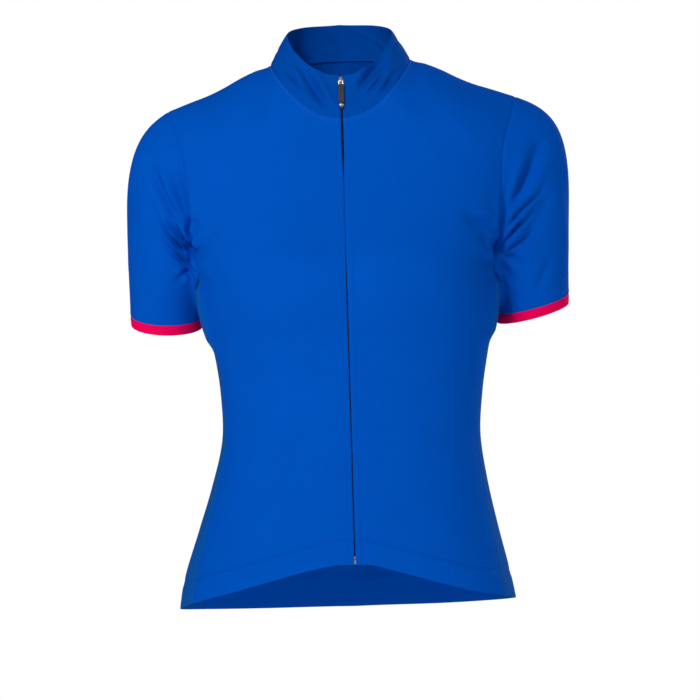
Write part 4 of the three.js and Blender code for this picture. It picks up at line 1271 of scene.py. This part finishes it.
def bar(path, half_x, half_y, sides=10, power=0.6):
    """A rounded bar swept along (y, z) points at x, with a section of half sizes along x and across."""

    def make(part):
        path_points = np.array(path, float)
        ways = unit(np.gradient(path_points, axis=0))
        rings = []
        for (x, y, z), (_, wy, wz) in zip(path_points, ways):
            ring = []
            for t in np.linspace(0, 2 * pi, sides, endpoint=False):
                c, s = cos(t), sin(t)
                c, s = np.sign(c) * abs(c) ** power * half_x, np.sign(s) * abs(s) ** power * half_y
                ring.append(part.verts.new((x + c, y - wz * s, z + wy * s)))
            rings.append(ring)
        for a, b in zip(rings, rings[1:]):
            for i in range(sides):
                k = (i + 1) % sides
                part.faces.new((a[i], a[k], b[k], b[i]))
        part.faces.new(rings[0])
        part.faces.new(rings[-1][::-1])

    return make


def ball(half_x, half_y, half_z, centre, around=28, levels=18):
    """A closed flattened ball with its poles along z and its centre at that height."""

    def make(part):
        top, bottom = (part.verts.new((0, 0, centre + way * half_z)) for way in (1, -1))
        rings = []
        for i in range(1, levels):
            wide, high = sin(pi * i / levels), cos(pi * i / levels)
            rings.append([
                part.verts.new((half_x * wide * cos(t), half_y * wide * sin(t), centre + half_z * high))
                for t in np.linspace(0, 2 * pi, around, endpoint=False)
            ])
        for i in range(around):
            k = (i + 1) % around
            part.faces.new((top, rings[0][i], rings[0][k]))
            for a, b in zip(rings, rings[1:]):
                part.faces.new((a[i], b[i], b[k], a[k]))
            part.faces.new((bottom, rings[-1][k], rings[-1][i]))

    return make


def solid_piece(name, parts, material, body, node):
    work = bmesh.new()
    for place, make in parts:
        into(work, place, make)
    mesh = bpy.data.meshes.new(name)
    work.to_mesh(mesh)
    work.free()
    mesh.shade_smooth()
    mesh.set_sharp_from_angle(angle=radians(40))
    mesh.materials.append(material)
    piece = new_object(name, mesh)
    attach(piece, body)
    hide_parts(node)
    return piece


# The slider: its top and bottom plates, the post between them, the arch over the pull's pin and
# the ears that the pin turns in.
crown = [
    (0, 4), (0.75, 4), (1.25, 3.7), (2.1, 1.4), (3.25, -1.2), (3.4, -1.9), (3.1, -2.8), (2.3, -4.3),
    (1.9, -4.5), (0, -4.5),
]
under = [(0, 3.9), (1.9, 3.9), (2.9, 2.6), (3.3, 0.8), (3.3, -2.8), (2.8, -4.4), (0, -4.4)]
post = [(0, 3.2), (0.6, 3.2), (0.8, 2.2), (0.8, 0.7), (0, 0.5)]
arch = [
    (0, 1.4, -2.55), (0, 2.6, -2.6), (0, 3.4, -2.4), (0, 3.85, -1.8), (0, 3.97, -0.8), (0, 3.85, 0.1),
    (0, 3.4, 0.75), (0, 2.6, 0.95), (0, 1.4, 0.95),
]
ears = [[(x, 1.2, -2.6), (x, 1.55, -2.0), (x, 1.55, -1.4), (x, 1.2, -0.9)] for x in (2.75, -2.75)]
solid_piece("slider_metal", [
    (slide, plate(crown, 0.3, 1.5, 0.22, inset=0.55, sink=0.35)),
    (slide, plate(under, -4.2, -3.3, 0.2)),
    (slide, plate(post, -3.4, 0.5, 0.08)),
    (slide, bar(arch, 1.05, 0.42)),
    *[(slide, bar(ear, 0.5, 0.4)) for ear in ears],
], plated_metal, "garment", "zip_slider")

# The pull: its pin and two arms, the rubber grip with its rim, a bead and a tip.
arms = [[(x, 0.0, 0.5), (x, 0.0, -1.0), (x, 0.0, -2.6), (x, 0.0, -4.2)] for x in (2.0, -2.0)]
grip = [(0, -3.9), (2.5, -3.9), (2.95, -4.5), (3, -14), (3, -24.0), (2.8, -24.5), (0, -24.5)]
pad = [(0, -4.5), (2.2, -4.5), (2.45, -4.8), (2.5, -14), (2.5, -23.6), (2.3, -23.9), (0, -23.9)]
tip = [(0, -28.8), (1.7, -28.8), (1.6, -29.8), (1.2, -30.7), (0.6, -31), (0, -31)]


def pin_shape(part):
    bmesh.ops.create_cone(part, cap_ends=True, segments=14, radius1=0.52, radius2=0.52, depth=4.8,
                          matrix=Matrix.Rotation(pi / 2, 4, "Y"))


solid_piece("pull_arms", [
    (hang, pin_shape),
    *[(hang, bar(arm, 0.48, 0.5)) for arm in arms],
], plated_metal, "pull", "pull_tab")
solid_piece("pull_rim", [(hang, plate(grip, -1, 0.7, 0.3))], tip_rubber, "pull", "pull_tab")
solid_piece("pull_grip", [(hang, plate(pad, -0.9, 1, 0.22))], moulded_rubber, "pull", "pull_tab")


solid_piece("pull_bead", [(hang, ball(2.75, 1.25, 2.35, -26.7))], plated_metal, "pull", "pull_tab")
solid_piece("pull_tip", [(hang, plate(tip, -0.7, 0.75, 0.3))], tip_rubber, "pull", "pull_tab")

# The foot of the zip: its box, the stop above it and the stem that joins them.
low_box = [(0, 0.6), (0.7, 0.6), (0.95, 0.9), (0.95, 4.4), (0.7, 4.8), (0, 4.8)]
stop = [(0, 6.6), (0.6, 6.6), (0.9, 6.9), (0.9, 8.2), (0.7, 8.5), (0, 8.5)]
stem = [(0, 4.4), (0.45, 4.4), (0.45, 7.0), (0, 7.0)]
solid_piece("zip_foot", [
    (foot, plate(low_box, -1.3, 0.45, 0.2)),
    (foot, plate(stop, -1.3, 0.45, 0.2)),
    (foot, plate(stem, -1.2, -0.3, 0.05)),
], plated_metal, "garment", "zip_box")

# ---- Camera, light and floor ----

# The camera stands 3 m in front, and leans by the angle that the picture leans.
ROLL = 1.7
camera = bpy.data.objects.new("camera", bpy.data.cameras.new("camera"))
bpy.context.scene.collection.objects.link(camera)
camera.data.lens, camera.data.sensor_width = 140.3, 36
camera.location = (0.0013, -3.0, -0.3147)
camera.rotation_mode = "QUATERNION"
tilt = Matrix.Rotation(radians(ROLL), 4, "Y") @ Matrix.Rotation(radians(90), 4, "X")
camera.rotation_quaternion = tilt.to_quaternion()
bpy.context.scene.camera = camera

scene = bpy.context.scene
scene.view_settings.view_transform = "Standard"
world = bpy.data.worlds.new("studio")
world.use_nodes = True
scene.world = world
world.node_tree.nodes.clear()
# A white backdrop, and a soft room whose light is dimmer from above than from below.
LIGHT_BELOW, LIGHT_ABOVE = 0.36, 0.16
room = world.node_tree
seen = add(room, "ShaderNodeBackground", {"Color": (1, 1, 1, 1), "Strength": 1.0})
sky = add(room, "ShaderNodeTexCoord")
height = add(room, "ShaderNodeSeparateXYZ", {0: sky.outputs["Generated"]})
dimmed = add(room, "ShaderNodeMapRange", {
    0: height.outputs[2], 1: -0.2, 2: 0.9, 3: LIGHT_BELOW, 4: LIGHT_ABOVE})
soft = add(room, "ShaderNodeBackground", {
    "Color": (0.97, 0.98, 1, 1), "Strength": dimmed.outputs[0]})
path = add(room, "ShaderNodeLightPath")
both = add(room, "ShaderNodeMixShader", {
    0: path.outputs["Is Camera Ray"], 1: soft.outputs[0], 2: seen.outputs[0]})
add(room, "ShaderNodeOutputWorld", {"Surface": both.outputs[0]})


def lamp(name, kind, toward, strength, **settings):
    data = bpy.data.lights.new(name, kind)
    data.energy = strength
    for key, value in settings.items():
        setattr(data, key, value)
    light = bpy.data.objects.new(name, data)
    light.rotation_mode = "QUATERNION"
    light.rotation_quaternion = Vector(toward).to_track_quat("-Z", "Y")
    bpy.context.scene.collection.objects.link(light)
    return light


key = lamp("key", "AREA", (0.38, 0.80, -0.46), 38, shape="DISK", size=0.65)
key.location = (-0.97, -2.14, 0.95)
key.visible_camera = False
for name, toward, strength, spread in (
    ("fill", (-0.62, 0.72, -0.1), 0.26, 60),
    ("left", (-0.95, 0.28, -0.14), 0.1, 60),
    ("right", (0.95, 0.26, -0.2), 0.25, 60),
    ("behind", (-0.6, -0.75, -0.28), 1.35, 25),
):
    lamp(name, "SUN", toward, strength, angle=radians(spread))

FLOOR_Z = -1.5  # in metres, as the fade below
floor_mesh = bpy.data.meshes.new("floor")
work = bmesh.new()
bmesh.ops.create_circle(work, cap_ends=True, radius=5, segments=64)
work.to_mesh(floor_mesh)
work.free()
floor = new_object("floor", floor_mesh)
floor.location.z = FLOOR_Z
floor_paint, floor_tree = new_material("floor_paint")
spot = add(floor_tree, "ShaderNodeTexCoord")
reach = add(floor_tree, "ShaderNodeVectorMath", {0: spot.outputs["Object"]}, operation="LENGTH")
fade = add(floor_tree, "ShaderNodeMapRange", {0: reach.outputs["Value"], 1: 1.5, 2: 4.0})
paint = add(floor_tree, "ShaderNodeBsdfPrincipled", {
    "Base Color": (0.9, 0.9, 0.9, 1), "Roughness": 0.9, "Emission Color": (1, 1, 1, 1),
    "Emission Strength": 0.4})
clear = add(floor_tree, "ShaderNodeBsdfTransparent")
faded = add(floor_tree, "ShaderNodeMixShader", {0: fade.outputs[0], 1: paint.outputs[0], 2: clear.outputs[0]})
add(floor_tree, "ShaderNodeOutputMaterial", {"Surface": faded.outputs[0]})
floor_mesh.materials.append(floor_paint)
